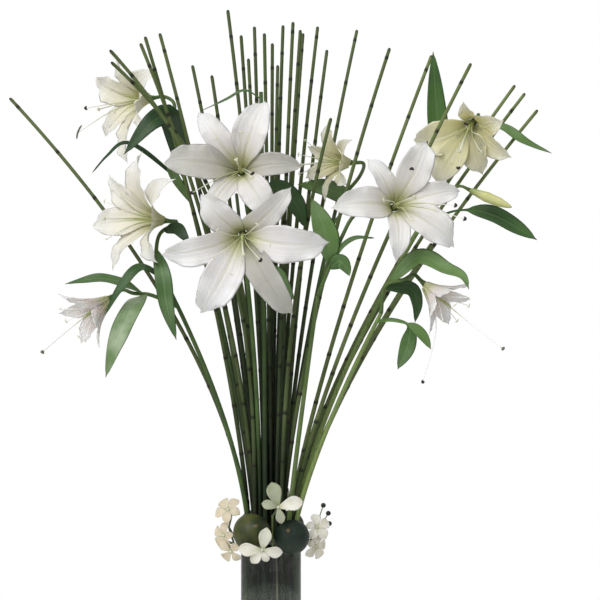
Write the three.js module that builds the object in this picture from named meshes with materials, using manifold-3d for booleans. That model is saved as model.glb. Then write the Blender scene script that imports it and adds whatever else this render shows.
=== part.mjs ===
// White oriental lilies and jointed horsetail stems in a straight clear vase with a collar of limes.
// Millimetres, +Z up, +X to the right and -Y towards the viewer; the origin is the centre of the
// vase's underside.
import * as THREE from 'three';
import { LoftGeometry } from 'three/addons/geometries/LoftGeometry.js';
import { mergeVertices } from 'three/addons/utils/BufferGeometryUtils.js';
import Module from 'manifold-3d';

const wasm = await Module();
wasm.setup();

// Vase and water
const VASE_RADIUS = 45;
const VASE_WALL = 3;
const VASE_FLOOR = 12;
const VASE_HEIGHT = 350;
const VASE_SIDES = 32;
const FOOT_BEVEL = 1.5;
const LIP_BEVEL = 1;
const WATER_LEVEL = 326;
const GAP = 0.3;

// Stems: they stand in straight columns inside the vase and fan out above its mouth
const COLUMN_PITCH = 8;
const ROW_PITCH = 8.6;
const FAN_START = 335;
const FOOT = VASE_FLOOR + GAP;
const LEAN = 1.5;
const SLOT_PLAY = 0.42;
const STEM_SIDES = 5;
const PAIR_SPIN = Math.PI / 10;
const HORSETAIL_RADIUS = 3.5;
const JOINT_RADIUS = 3.85;
const JOINT_NECK = 3.4;
const JOINT_STEP = 5;
const JOINT_SPACING = 144;
const FIRST_JOINT = 34;
const JOINT_STAGGER = 37;
const STAGGER_SHARE = 0.75;
const TIP_CLEAR = 24;
const THINNING = 0.26;
const LILY_STEM_RADIUS = 3.7;
const STEM_THINNING = 0.7;
const PEDICEL_RADIUS = 2.8;
const BUD_STALK_RADIUS = 2.2;

// Lily blooms
const BASE_RADIUS = 6;
const THROAT_HEIGHT = 50;
const TEPAL_THICKNESS = 1.2;
const TEPAL_START_ANGLE = 20;
const TUBE_ROWS = [0, 0.14, 0.3];
const RUFFLES = [0.05, 0.16, -0.2, 0];
const CUPPING = 0.24;
const TEPAL_ROWS = [0.47, 0.66, 0.85, 1];
const INNER_WIDTH = 54;
const OUTER_WIDTH = 41;

// Leaves
const LEAF_THICKNESS = 1;
const LEAF_ROWS = [0, 0.2, 0.48, 0.78, 1];

// Collar
const COLLAR_RADIUS = 49.3;
const COLLAR_TUBE = 3.5;
const COLLAR_HEIGHT = 332;
const FLORET_NECK = 12;
const PETAL_SPREAD = 22;
const PETAL_SHOULDER = 0.78;
const PETAL_THICKNESS = 1.1;
const BERRY_RADIUS = 3.6;

// Where the whole arrangement is looked at from; places measured on its front view are moved to
// their depth along the sight line
const EYE = new THREE.Vector3(43.5, -2600, 700);
const seen = (x, z, depth) =>
  new THREE.Vector3(x, 0, z).sub(EYE).multiplyScalar((depth - EYE.y) / -EYE.y).add(EYE);

const radians = THREE.MathUtils.degToRad;

// Horsetail tips and lily stem tops on the front view: x, z, depth, bend
const COLUMNS = [
  { row: -1, stems: ['lily_c', [-189, 1095, 0, 1.46], [-392, 1003, 110, 1.7]] },
  {
    row: -1.5,
    stems: [
      [-242, 1075, -70, 3.2],
      [-240, 1057, -50, 3.8],
      [-196, 1085, -20, 1.8],
      [-167, 1100, 20, 1.46],
      'lily_d',
    ],
  },
  { row: -1, stems: ['lily_a', [-89, 1037, 40, 1.46], [-118, 1052, 110, 1.46]] },
  {
    row: -2.5,
    stems: [
      'lily_b',
      [-65, 1135, 30, 1.8],
      [-45, 1097, 70, 1.46],
      [-25, 1110, 110, 1.46],
      [-34, 1062, 160, 1.46],
    ],
  },
  {
    row: -1,
    stems: [
      [-10, 1100, 40, 1.46],
      [2, 1085, 80, 1.46],
      [18, 1112, 120, 1.46],
      [10, 1052, 165, 1.46],
    ],
  },
  {
    row: -1.5,
    stems: [
      [33, 1117, 20, 1.46],
      [44, 1105, 60, 1.46],
      [48, 1100, 105, 1.46],
      [70, 1110, 150, 1.46],
    ],
  },
  {
    row: -2,
    stems: [
      [90, 973, -15, 2.3],
      [178, 1078, 2, 1.5],
      [84, 1075, 155, 1.46],
      [129, 1105, 205, 1.46],
      'lily_g',
    ],
  },
  {
    row: -2.3,
    stems: [
      'lily_e',
      [300, 1055, -32, 1.35],
      [241, 1067, 40, 1.3],
      [366, 1022, 105, 1.46],
      [381, 1010, 140, 1.46],
    ],
  },
  {
    row: -1.6,
    stems: ['lily_i', 'lily_f', [241, 785, 45, 1.46], [400, 985, 104, 1.46]],
  },
];

// Shorter horsetails behind the columns, side by side in pairs: x and y in the vase, and the stem
const BACK_STEMS = [
  { x: -20, y: 28.5, stem: [-82, 850, 150, 1.46] },
  { x: -12, y: 24, stem: [-52, 860, 150, 1.46] },
  { x: -4, y: 24, stem: [-15, 866, 160, 1.46] },
  { x: 4, y: 24.5, stem: [19, 858, 165, 1.46] },
];

// Blooms: throat on the front view and its depth, turn to the right and tilt up in degrees;
// tepals as direction in degrees, reach from the axis and opening angle, inner ones at even places,
// and fullness where they are broader;
// stamens whose place is seen, and the style, as x and z on the front view and distance from the base
const BLOOMS = {
  a: {
    throat: [-44, 788, -165],
    turn: 0,
    tilt: -15,
    tepals: [
      [358, 124, 118],
      [303, 132, 122],
      [241, 124, 118],
      [192, 118, 126],
      [134, 84, 134],
      [46, 100, 128],
    ],
    seenStamens: { 1: [-16, 760, 100] },
  },
  b: {
    throat: [-50, 904, -95],
    turn: -5,
    tilt: 10,
    tepals: [
      [70, 106, 118],
      [2, 92, 128],
      [303, 92, 126],
      [238, 92, 126],
      [176, 112, 124],
      [127, 104, 118],
    ],
    seenStamens: { 1: [-28, 890, 100], 3: [-98, 850, 104], 4: [-118, 861, 118] },
  },
  c: {
    throat: [-208, 824, -60],
    turn: -60,
    tilt: 4,
    tepals: [
      [92, 98, 105],
      [38, 90, 130],
      [300, 76, 118],
      [238, 92, 84],
      [187, 92, 66],
      [136, 94, 78],
    ],
  },
  d: {
    throat: [-224, 997, 120],
    turn: -60,
    tilt: -10,
    tepals: [
      [150, 90, 84],
      [92, 74, 84],
      [26, 84, 126],
      [328, 82, 82],
      [270, 96, 84],
      [212, 90, 84],
    ],
    seenStamens: { 0: [-277, 988, 106], 5: [-288, 952, 110] },
  },
  e: {
    throat: [197, 850, -90],
    turn: 12,
    tilt: 10,
    tepals: [
      [184, 100, 126],
      [122, 80, 122],
      [64, 104, 116],
      [12, 98, 124],
      [322, 104, 126],
      [266, 86, 124],
    ],
    seenStamens: { 2: [211, 896, 104], 3: [276, 842, 122], 4: [290, 822, 134] },
  },
  f: {
    throat: [290, 947, 5],
    turn: -25,
    tilt: -30,
    fullness: 1.25,
    tepals: [
      [186, 88, 100],
      [232, 98, 92],
      [282, 72, 84],
      [326, 78, 90],
      [12, 60, 90],
      [90, 46, 76],
    ],
    seenStamens: { 0: [234, 935, 104], 2: [281, 899, 104], 5: [292, 964, 98] },
  },
  g: {
    throat: [73, 908, 46],
    turn: -65,
    tilt: 0,
    tepals: [
      [95, 66, 98],
      [150, 54, 56],
      [205, 54, 52],
      [262, 62, 84],
      [320, 60, 100],
      [30, 60, 110],
    ],
  },
  h: {
    throat: [-284, 672, -55],
    turn: -70,
    tilt: -35,
    tepals: [
      [100, 50, 40],
      [40, 50, 44],
      [340, 48, 48],
      [280, 50, 42],
      [220, 56, 40],
      [160, 56, 40],
    ],
    style: [-343, 622, 138],
  },
  i: {
    throat: [267, 690, -60],
    turn: 60,
    tilt: -40,
    tepals: [
      [80, 46, 42],
      [20, 50, 44],
      [320, 50, 44],
      [260, 50, 42],
      [200, 50, 44],
      [140, 48, 44],
    ],
    seenStamens: { 3: [228, 578, 146] },
    style: [348, 627, 152],
  },
};

// Lily stems: top on the front view and its depth, bend, then the stalks to the blooms as points
// between the stem and the bloom, and the leaves as the height of the base on the stem, or a stalk
// and a share of its length, with points on the front view, a width, the way the face looks and
// the share that is a slim stalk
const LILY_STEMS = {
  a: {
    top: [-39, 762, -54],
    bend: 2.2,
    stalks: [{ bloom: 'a', via: [[-43, 798, -74]] }],
    leaves: [],
  },
  b: {
    top: [-15, 1012, -12],
    bend: 1.46,
    stalks: [{ bloom: 'b', from: 770, via: [[-34, 826, -20]] }],
    leaves: [
      {
        at: 1000,
        via: [[-40, 1014, -18], [-66, 1001, -24], [-102, 985, -24]],
        width: 9,
        face: [0, -0.5, 1],
      },
      { at: 748, via: [[8, 738, -34], [20, 720, -42], [35, 700, -44]], width: 24, face: [0, -1, 0.2] },
      { at: 862, via: [[10, 866, -32], [36, 846, -38], [52, 808, -36]], width: 32, face: [0, -1, 0.2] },
    ],
  },
  c: {
    top: [-174, 757, -60],
    bend: 1.6,
    stalks: [
      { bloom: 'c', via: [[-166, 800, -36]] },
      { bloom: 'h', from: 690, via: [[-182, 708, -48], [-206, 710, -52]] },
    ],
    leaves: [
      {
        stalk: 1,
        share: 0.45,
        via: [[-206, 690, -96], [-232, 636, -112], [-248, 584, -106]],
        width: 31,
        face: [-0.3, -1, 0.1],
      },
      {
        at: 734,
        via: [[-198, 748, -98], [-226, 718, -110], [-249, 677, -106]],
        width: 16,
        face: [-0.2, -1, 0.5],
      },
      {
        stalk: 0,
        share: 0.22,
        via: [[-162, 734, -84], [-156, 690, -90], [-142, 640, -84]],
        width: 25,
        face: [0.1, -1, 0],
      },
      {
        stalk: 0,
        share: 0.6,
        via: [[-140, 806, -58], [-131, 796, -66], [-121, 784, -70]],
        width: 20,
        face: [0, -1, 0.3],
      },
      {
        stalk: 1,
        share: 0.5,
        via: [[-220, 724, -70], [-256, 732, -82], [-309, 724, -88]],
        width: 20,
        face: [0, -0.8, 0.8],
      },
    ],
  },
  d: {
    top: [-150, 950, 136],
    bend: 1.46,
    stalks: [{ bloom: 'd', via: [[-146, 996, 152]] }],
    leaves: [
      { at: 890, via: [[-150, 972, 60], [-174, 970, 28], [-221, 918, 20]], width: 38, face: [-0.3, -1, 0] },
      { at: 880, via: [[-218, 936, 84], [-246, 916, 74], [-268, 891, 70]], width: 8, face: [0, -1, 0.5] },
      { at: 850, via: [[-150, 900, 96], [-142, 920, 92], [-131, 945, 88]], width: 15, face: [0.2, -1, 0.2] },
    ],
  },
  e: {
    top: [70, 706, -34],
    bend: 1.15,
    stalks: [{ bloom: 'e', via: [[92, 760, -38], [107, 796, -34], [124, 826, -26], [152, 842, -14]] }],
    leaves: [
      {
        stalk: 0,
        share: 0.24,
        via: [[86, 786, -48], [76, 816, -52], [61, 852, -46]],
        width: 36,
        face: [0.2, -1, 0],
      },
      {
        stalk: 0,
        share: 0.25,
        via: [[108, 782, -44], [126, 793, -46], [155, 793, -46]],
        width: 8,
        face: [0, -1, 0.3],
      },
      {
        stalk: 0,
        share: 0.21,
        via: [[103, 758, -46], [112, 749, -48], [118, 736, -48]],
        width: 22,
        face: [0.2, -1, 0.1],
      },
    ],
  },
  f: {
    top: [280, 900, 64],
    bend: 1.46,
    stalks: [{ bloom: 'f', via: [[300, 955, 80]] }],
    leaves: [
      { at: 890, via: [[254, 936, 82], [248, 988, 86], [243, 1073, 86]], width: 32, face: [0.1, -1, 0] },
      {
        stalk: 0,
        share: 0.7,
        via: [[350, 958, 84], [380, 938, 80], [421, 920, 78]],
        width: 18,
        face: [0, -1, 0.8],
      },
      {
        at: 815,
        slim: 0.38,
        via: [[280, 834, 40], [330, 828, 24], [399, 790, 16]],
        width: 34,
        face: [0.1, -1, 0.7],
      },
    ],
  },
  g: {
    top: [100, 848, 118],
    bend: 1.46,
    stalks: [{ bloom: 'g', via: [[132, 884, 118]] }],
    leaves: [
      {
        at: 815,
        slim: 0.2,
        via: [[114, 848, 98], [84, 867, 88], [40, 873, 82]],
        width: 30,
        face: [0, -1, 0.2],
      },
    ],
  },
  i: {
    top: [165, 680, -40],
    bend: 1.35,
    stalks: [{ bloom: 'i', via: [[172, 722, -44], [200, 731, -48]] }],
    leaves: [
      {
        stalk: 0,
        share: 0.45,
        via: [[222, 764, -60], [262, 747, -78], [288, 735, -98], [297, 716, -106]],
        width: 28,
        face: [0.1, -1, 0.6],
      },
      {
        stalk: 0,
        share: 0.35,
        via: [[211, 716, -30], [219, 696, -28], [216, 666, -26]],
        width: 21,
        face: [0.1, -1, 0],
      },
      {
        at: 668,
        slim: 0.4,
        via: [[182, 671, -50], [207, 661, -48], [205, 632, -42], [190, 596, -34]],
        width: 24,
        face: [0.1, -1, 0.1],
      },
      {
        at: 668,
        slim: 0.5,
        via: [[182, 669, -60], [210, 662, -66], [228, 646, -68], [240, 626, -66]],
        width: 16,
        face: [0, -1, 0.3],
      },
    ],
  },
};

// Bud of the right-hand stem: base and tip on the front view with their depth
const BUD = { stem: 'f', from: 850, base: [298, 865, 10], tip: [361, 839, -6], radius: 8 };

// Florets of the collar: centre, way it faces, and petals as direction in degrees and length
const SPRAYS = [
  {
    root: [3.4, -50.3, 335.6],
    knot: [3.4, -66, 384],
    florets: [
      { centre: [12, -84, 399], face: [0, -1, 0.2], petals: [[105, 38], [14, 37], [282, 24], [166, 25]] },
    ],
  },
  {
    root: [-7, -52.5, 331],
    knot: [-10, -72, 327],
    florets: [
      {
        centre: [-11, -94, 339],
        face: [0, -1, -0.15],
        petals: [[78, 33], [350, 30], [292, 20], [232, 26], [178, 35]],
      },
    ],
  },
  {
    root: [-48.4, -14, 335.2],
    knot: [-62, -24, 362],
    florets: [
      {
        centre: [-62, -44, 390],
        face: [-0.4, -1, 0.7],
        petals: [[60, 22], [132, 23], [204, 22], [276, 20], [348, 19]],
      },
      {
        centre: [-68, -40, 352],
        face: [-0.8, -0.9, 0],
        petals: [[82, 21], [154, 22], [226, 23], [298, 21], [10, 16]],
      },
      {
        centre: [-58, -46, 330],
        face: [-0.4, -1, -0.4],
        petals: [[45, 17], [135, 21], [225, 21], [315, 19]],
      },
    ],
  },
  {
    root: [48.4, -14, 335.2],
    knot: [62, -24, 354],
    florets: [
      {
        centre: [68, -38, 364],
        face: [0.3, -1, 0.4],
        petals: [[20, 22], [92, 21], [164, 16], [236, 19], [308, 22]],
      },
      {
        centre: [66, -36, 336],
        face: [0.6, -0.9, -0.1],
        petals: [[80, 18], [152, 15], [224, 20], [296, 22], [8, 20]],
      },
    ],
  },
  {
    root: [0, 50.4, 335.6],
    knot: [0, 62, 382],
    florets: [
      {
        centre: [-12, 80, 400],
        face: [-0.3, 1, 0.4],
        petals: [[30, 24], [102, 24], [174, 22], [246, 20], [318, 22]],
      },
      {
        centre: [24, 80, 394],
        face: [0.4, 1, 0.4],
        petals: [[75, 20], [147, 18], [219, 20], [291, 18], [3, 20]],
      },
    ],
  },
];

// Limes: angle from the front, distance from the axis, height, radius and roll
const LIME_SIDES = 11;
const LIME_LEAN = 60;
const LIMES = [
  { angle: -22.5, distance: 70.8, height: 360, radius: 28, roll: 30 },
  { angle: 27.2, distance: 69.7, height: 353, radius: 26, roll: -24 },
  { angle: 156, distance: 66.9, height: 354, radius: 23, roll: 15 },
  { angle: 204, distance: 66.8, height: 355, radius: 23, roll: -15 },
];

function solidOf(geometry) {
  const plain = new THREE.BufferGeometry();
  plain.setAttribute('position', geometry.attributes.position);
  plain.setIndex(geometry.index);
  const merged = mergeVertices(plain, 1e-4);
  return new wasm.Manifold(
    new wasm.Mesh({
      numProp: 3,
      vertProperties: new Float32Array(merged.attributes.position.array),
      triVerts: new Uint32Array(merged.index.array),
    }),
  );
}

function geometryOf(solid) {
  const mesh = solid.getMesh();
  const geometry = new THREE.BufferGeometry();
  geometry.setAttribute('position', new THREE.BufferAttribute(new Float32Array(mesh.vertProperties), 3));
  geometry.setIndex(new THREE.BufferAttribute(new Uint32Array(mesh.triVerts), 1));
  geometry.computeVertexNormals();
  return geometry;
}

const fused = (solids) => wasm.Manifold.union(solids).simplify(0.2);

// Round stem through points, with a radius at each
function tube(points, radii, sides, spin = 0) {
  const last = points.length - 1;
  const tangents = points.map((p, i) => {
    const before = points[Math.max(i - 1, 0)];
    const after = points[Math.min(i + 1, last)];
    return after.clone().sub(before).normalize();
  });
  let side = new THREE.Vector3(1, 0, 0);
  if (Math.abs(tangents[0].x) > 0.9) side = new THREE.Vector3(0, 1, 0);
  const sections = points.map((p, i) => {
    side = side.clone().addScaledVector(tangents[i], -side.dot(tangents[i])).normalize();
    const up = new THREE.Vector3().crossVectors(tangents[i], side);
    const ring = [];
    for (let k = 0; k < sides; k++) {
      const angle = spin + (2 * Math.PI * k) / sides;
      ring.push(
        p
          .clone()
          .addScaledVector(side, radii[i] * Math.cos(angle))
          .addScaledVector(up, radii[i] * Math.sin(angle)),
      );
    }
    return ring;
  });
  return new LoftGeometry(sections, { capStart: true, capEnd: true });
}

// Sheet of even thickness over triangles; both faces are split alike and the open edges are closed
function sheet(points, triangles, thickness) {
  const normals = points.map(() => new THREE.Vector3());
  for (const corners of triangles) {
    const [a, b, c] = corners.map((k) => points[k]);
    const normal = b.clone().sub(a).cross(c.clone().sub(a));
    corners.forEach((k) => normals[k].add(normal));
  }
  const front = points.map((p, k) => p.clone().addScaledVector(normals[k].normalize(), thickness / 2));
  const back = points.map((p, k) => p.clone().addScaledVector(normals[k], -thickness / 2));
  const half = points.length;
  const faces = [];
  const edges = new Map();
  for (const corners of triangles) {
    const [a, b, c] = corners;
    faces.push(a, b, c);
    faces.push(a + half, c + half, b + half);
    for (const [p, q] of [[a, b], [b, c], [c, a]]) {
      if (!edges.delete(`${q} ${p}`)) edges.set(`${p} ${q}`, [p, q]);
    }
  }
  for (const [p, q] of edges.values()) {
    faces.push(q, p, p + half);
    faces.push(q, p + half, q + half);
  }
  const geometry = new THREE.BufferGeometry();
  geometry.setFromPoints([...front, ...back]);
  geometry.setIndex(faces);
  return geometry;
}

// Blade over a grid of points, split symmetrically about its middle
function blade(grid, thickness) {
  const columns = grid[0].length;
  const triangles = [];
  for (let i = 0; i < grid.length - 1; i++) {
    for (let j = 0; j < columns - 1; j++) {
      const a = i * columns + j;
      const b = a + columns;
      if (j < (columns - 1) / 2) triangles.push([a, b, b + 1], [a, b + 1, a + 1]);
      else triangles.push([a, b, a + 1], [b, b + 1, a + 1]);
    }
  }
  return sheet(grid.flat(), triangles, thickness);
}

// Slots of the stems inside the vase, with the rank each stands in; every two horsetails that
// follow each other are partners
function stemSlots() {
  const slots = [];
  COLUMNS.forEach((column, c) => {
    const x = (c - (COLUMNS.length - 1) / 2) * COLUMN_PITCH;
    column.stems.forEach((stem, r) => {
      slots.push({ stem, x, y: (column.row + r) * ROW_PITCH, rank: c });
    });
  });
  BACK_STEMS.forEach((slot, k) => slots.push({ ...slot, rank: COLUMNS.length + Math.floor(k / 2) }));
  let waiting = null;
  slots.forEach((slot, number) => {
    slot.number = number;
    if (!Array.isArray(slot.stem)) return;
    if (!waiting) {
      waiting = slot;
      return;
    }
    slot.partner = waiting;
    waiting.partner = slot;
    waiting = null;
  });
  return slots;
}

// Foot of a stem; partners lean against each other
function stemFoot(slot, z) {
  const foot = new THREE.Vector3(slot.x, slot.y, z);
  if (!slot.partner) return foot;
  const across = new THREE.Vector3(slot.partner.x - slot.x, slot.partner.y - slot.y, 0);
  return foot.add(across.setLength(LEAN));
}

// Centre of a stem at a height: straight in the vase, then bending out towards its tip
function stemPoint(slot, tip, bend, z) {
  const rise = Math.max(z - FAN_START, 0) / (tip.z - FAN_START);
  const out = Math.pow(rise, bend);
  return new THREE.Vector3(slot.x + (tip.x - slot.x) * out, slot.y + (tip.y - slot.y) * out, z);
}

// Horsetail: a tube that widens to each joint and steps in above it
function horsetail(slot) {
  const [x, z, depth, bend] = slot.stem;
  const tip = seen(x, z, depth);
  const points = [stemFoot(slot, FOOT)];
  const radii = [HORSETAIL_RADIUS];
  const add = (height, radius) => {
    points.push(stemPoint(slot, tip, bend, height));
    radii.push(radius);
  };
  add(FAN_START, HORSETAIL_RADIUS);
  const stagger = ((slot.number * JOINT_STAGGER) % JOINT_SPACING) * STAGGER_SHARE;
  const first = FAN_START + FIRST_JOINT + stagger;
  for (let height = first; height < tip.z - TIP_CLEAR; height += JOINT_SPACING) {
    const thin = 1 - THINNING * ((height - FAN_START) / (tip.z - FAN_START));
    add(height, JOINT_RADIUS * thin);
    add(height + JOINT_STEP, JOINT_NECK * thin);
  }
  add(tip.z, HORSETAIL_RADIUS * (1 - THINNING));
  return tube(points, radii, STEM_SIDES, PAIR_SPIN);
}

// Two neighbouring horsetails whose feet lean against each other
function horsetailPairs(slots) {
  const firsts = slots.filter(({ number, partner }) => partner && number < partner.number);
  return firsts.map((slot) => fused([solidOf(horsetail(slot)), solidOf(horsetail(slot.partner))]));
}

// Bloom frame: centre of the hub's flat base, axis out of the throat, right and up
function bloomFrame(bloom) {
  const turn = radians(bloom.turn);
  const tilt = radians(bloom.tilt);
  const axis = new THREE.Vector3(
    Math.sin(turn) * Math.cos(tilt),
    -Math.cos(turn) * Math.cos(tilt),
    Math.sin(tilt),
  );
  const right = new THREE.Vector3(0, 0, 1).cross(axis).normalize();
  const up = axis.clone().cross(right);
  const base = seen(...bloom.throat).addScaledVector(axis, -THROAT_HEIGHT);
  return { base, axis, right, up };
}

// Middle line of a tepal: distance from the axis, height along it and angle at a share of its length
function tepalLine(reach, open, share) {
  const steps = 40;
  const angleAt = (t) => radians(TEPAL_START_ANGLE + open * Math.pow(t, 1.2));
  let out = 0;
  let full = 0;
  let up = 0;
  for (let k = 0; k < steps; k++) {
    const t = (k + 0.5) / steps;
    full += Math.sin(angleAt(t)) / steps;
    const part = Math.min(Math.max(share * steps - k, 0), 1);
    out += (part * Math.sin(angleAt(t))) / steps;
    up += (part * Math.cos(angleAt(t))) / steps;
  }
  const length = (reach - BASE_RADIUS) / full;
  return {
    radius: BASE_RADIUS + out * length,
    height: TEPAL_THICKNESS / 2 + up * length,
    angle: angleAt(share),
  };
}

const tepalWidth = (width, reach, t) => {
  const swell = Math.pow(Math.sin(Math.PI * Math.min(t, 0.999) ** 1.2), 1.1);
  return Math.max(2.4, width * Math.min(1, reach / 118) ** 0.8 * (0.13 * (1 - t) ** 2 + swell));
};

// White perianth: a closed tube that parts into six tepals, three broad and three narrow
function lilyBloom(bloom) {
  const frame = bloomFrame(bloom);
  const place = (radius, height, angle) =>
    frame.base
      .clone()
      .addScaledVector(frame.axis, height)
      .addScaledVector(frame.right, radius * Math.cos(angle))
      .addScaledVector(frame.up, radius * Math.sin(angle));
  const tepals = bloom.tepals
    .map(([direction, reach, open], k) => ({
      angle: radians(direction),
      reach,
      open,
      width: (k % 2 === 0 ? INNER_WIDTH : OUTER_WIDTH) * (bloom.fullness ?? 1),
    }))
    .sort((p, q) => p.angle - q.angle);
  const count = tepals.length;
  const next = (k) => (k + 1) % count;
  const points = [place(0, TEPAL_THICKNESS / 2, 0)];
  const triangles = [];
  const quad = (a, b, c, d, mirrored) => {
    if (mirrored) triangles.push([a, b, d], [b, c, d]);
    else triangles.push([a, b, c], [a, c, d]);
  };
  // Each ring of the tube: middle of a tepal, then the seam to the next one
  const rings = TUBE_ROWS.map((t) => {
    const ring = [];
    tepals.forEach((tepal, k) => {
      const other = tepals[next(k)];
      const mine = tepalLine(tepal.reach, tepal.open, t);
      const theirs = tepalLine(other.reach, other.open, t);
      const turn = (other.angle - tepal.angle + 2 * Math.PI) % (2 * Math.PI);
      const between = (mine.radius + theirs.radius) / 2 / Math.cos(turn / 2);
      ring.push(points.push(place(mine.radius, mine.height, tepal.angle)) - 1);
      const height = (mine.height + theirs.height) / 2;
      ring.push(points.push(place(t > 0 ? between : mine.radius, height, tepal.angle + turn / 2)) - 1);
    });
    return ring;
  });
  const round = 2 * count;
  for (let k = 0; k < round; k++) {
    const after = (k + 1) % round;
    triangles.push([0, rings[0][after], rings[0][k]]);
    for (let i = 0; i < rings.length - 1; i++) {
      quad(rings[i][k], rings[i][after], rings[i + 1][after], rings[i + 1][k], k % 2 === 0);
    }
  }
  const mouth = rings[rings.length - 1];
  tepals.forEach((tepal, k) => {
    const outward = place(1, 0, tepal.angle).sub(frame.base);
    const sideways = frame.axis.clone().cross(outward);
    let row = [mouth[(2 * k - 1 + round) % round], mouth[2 * k], mouth[2 * k + 1]];
    TEPAL_ROWS.forEach((t, i) => {
      const line = tepalLine(tepal.reach, tepal.open, t);
      const half = tepalWidth(tepal.width, tepal.reach, t) / 2;
      const inside = outward
        .clone()
        .multiplyScalar(-Math.cos(line.angle))
        .addScaledVector(frame.axis, Math.sin(line.angle));
      const fresh = [-1, 0, 1].map((v) => {
        const raise = Math.abs(v) * half * (CUPPING + v * RUFFLES[i]);
        const p = place(line.radius, line.height, tepal.angle)
          .addScaledVector(sideways, v * half)
          .addScaledVector(inside, raise);
        return points.push(p) - 1;
      });
      quad(row[0], row[1], fresh[1], fresh[0], false);
      quad(row[1], row[2], fresh[2], fresh[1], true);
      row = fresh;
    });
  });
  return solidOf(sheet(points, triangles, TEPAL_THICKNESS));
}

// Filament that carries its anther across its end like the bar of a T
function stamen(root, middle, tip, axis, roll) {
  const along = tip.clone().sub(middle).normalize();
  const bar = axis.clone().cross(along).normalize().addScaledVector(axis, roll);
  bar.addScaledVector(along, -bar.dot(along)).normalize();
  const side = along.clone().cross(bar);
  const section = (centre, width, depth) =>
    [[1, 0.5], [-1, 0.5], [0, -1]].map(([u, v]) =>
      centre.clone().addScaledVector(bar, u * width).addScaledVector(side, v * depth),
    );
  return new LoftGeometry(
    [
      section(root, 0.9, 1),
      section(middle, 0.8, 0.9),
      section(tip.clone().addScaledVector(along, -2), 0.8, 0.8),
      section(tip, 5.2, 2.3),
      section(tip.clone().addScaledVector(along, 2.4), 4.4, 1.6),
    ],
    { capStart: true, capEnd: true },
  );
}

// Point on the sight line through a place on the front view, at a distance from the bloom's base
function atDistance([x, z, distance], base) {
  const line = seen(x, z, 0).sub(EYE).normalize();
  const nearest = EYE.clone().addScaledVector(line, base.clone().sub(EYE).dot(line));
  const back = Math.sqrt(Math.max(distance ** 2 - nearest.distanceToSquared(base), 0));
  return nearest.addScaledVector(line, -back);
}

// Six stamens, and the style on its ovary, standing in the throat
function lilyStamens(bloom) {
  const frame = bloomFrame(bloom);
  const size = Math.min(1, 0.55 + bloom.tepals[0][1] / 260);
  const place = (radius, height, angle) =>
    frame.base
      .clone()
      .addScaledVector(frame.axis, height)
      .addScaledVector(frame.right, radius * Math.cos(angle))
      .addScaledVector(frame.up, radius * Math.sin(angle));
  const foot = TEPAL_THICKNESS + GAP;
  const ends = (spot, radius, height, angle) => {
    if (!spot) return [radius, height, angle];
    const from = atDistance(spot, frame.base).sub(frame.base);
    const across = from.dot(frame.right);
    const over = from.dot(frame.up);
    return [Math.hypot(across, over), from.dot(frame.axis), Math.atan2(over, across)];
  };
  const [styleOut, styleEnd, styleAngle] = ends(bloom.style, 8, 104 * size, -1);
  const style = tube(
    [
      place(0, foot, 0),
      place(0, foot + 26, 0),
      place(0.4 * styleOut, 0.64 * styleEnd, styleAngle),
      place(styleOut, styleEnd, styleAngle),
    ],
    [3.2, 3, 1.3, 1.3],
    4,
  );
  const stigma = new THREE.OctahedronGeometry(3.2);
  stigma.translate(...place(styleOut, styleEnd, styleAngle).toArray());
  const parts = [solidOf(style), solidOf(stigma)];
  for (let k = 0; k < 6; k++) {
    const spot = bloom.seenStamens?.[k];
    const [out, height, angle] = ends(spot, 40 * size, 88 * size, radians(bloom.tepals[k][0] + 8));
    const root = place(1, foot + 12, angle);
    const middle = place(0.35 * out, 0.59 * height, angle);
    const tip = place(out, height, angle);
    parts.push(solidOf(stamen(root, middle, tip, frame.axis, 0.4 * Math.sin(5 * k))));
  }
  return fused(parts);
}

const curveThrough = (points) => new THREE.CatmullRomCurve3(points, false, 'centripetal');

const curvePoints = (points, count) => curveThrough(points).getSpacedPoints(count);

function leaf(root, { via, width, face, slim = 0 }) {
  const curve = curveThrough([root, ...via.map((p) => seen(...p))]);
  const looks = new THREE.Vector3(...face).normalize();
  const grid = LEAF_ROWS.map((t) => {
    const middle = curve.getPointAt(t);
    const tangent = curve.getTangentAt(t);
    const across = looks.clone().cross(tangent).normalize();
    const normal = tangent.clone().cross(across);
    const past = Math.min(Math.max((t - slim) / (1 - slim), 0), 0.999);
    const spread = Math.pow(Math.sin(Math.PI * past ** 0.85), 0.8);
    const half = Math.max(1.4 + 1.2 * (1 - t), (width * spread) / 2);
    return [-1, 0, 1].map((v) =>
      middle
        .clone()
        .addScaledVector(across, v * half)
        .addScaledVector(normal, Math.abs(v) * half * 0.2 * (normal.dot(looks) > 0 ? 1 : -1)),
    );
  });
  return blade(grid, LEAF_THICKNESS);
}

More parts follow.
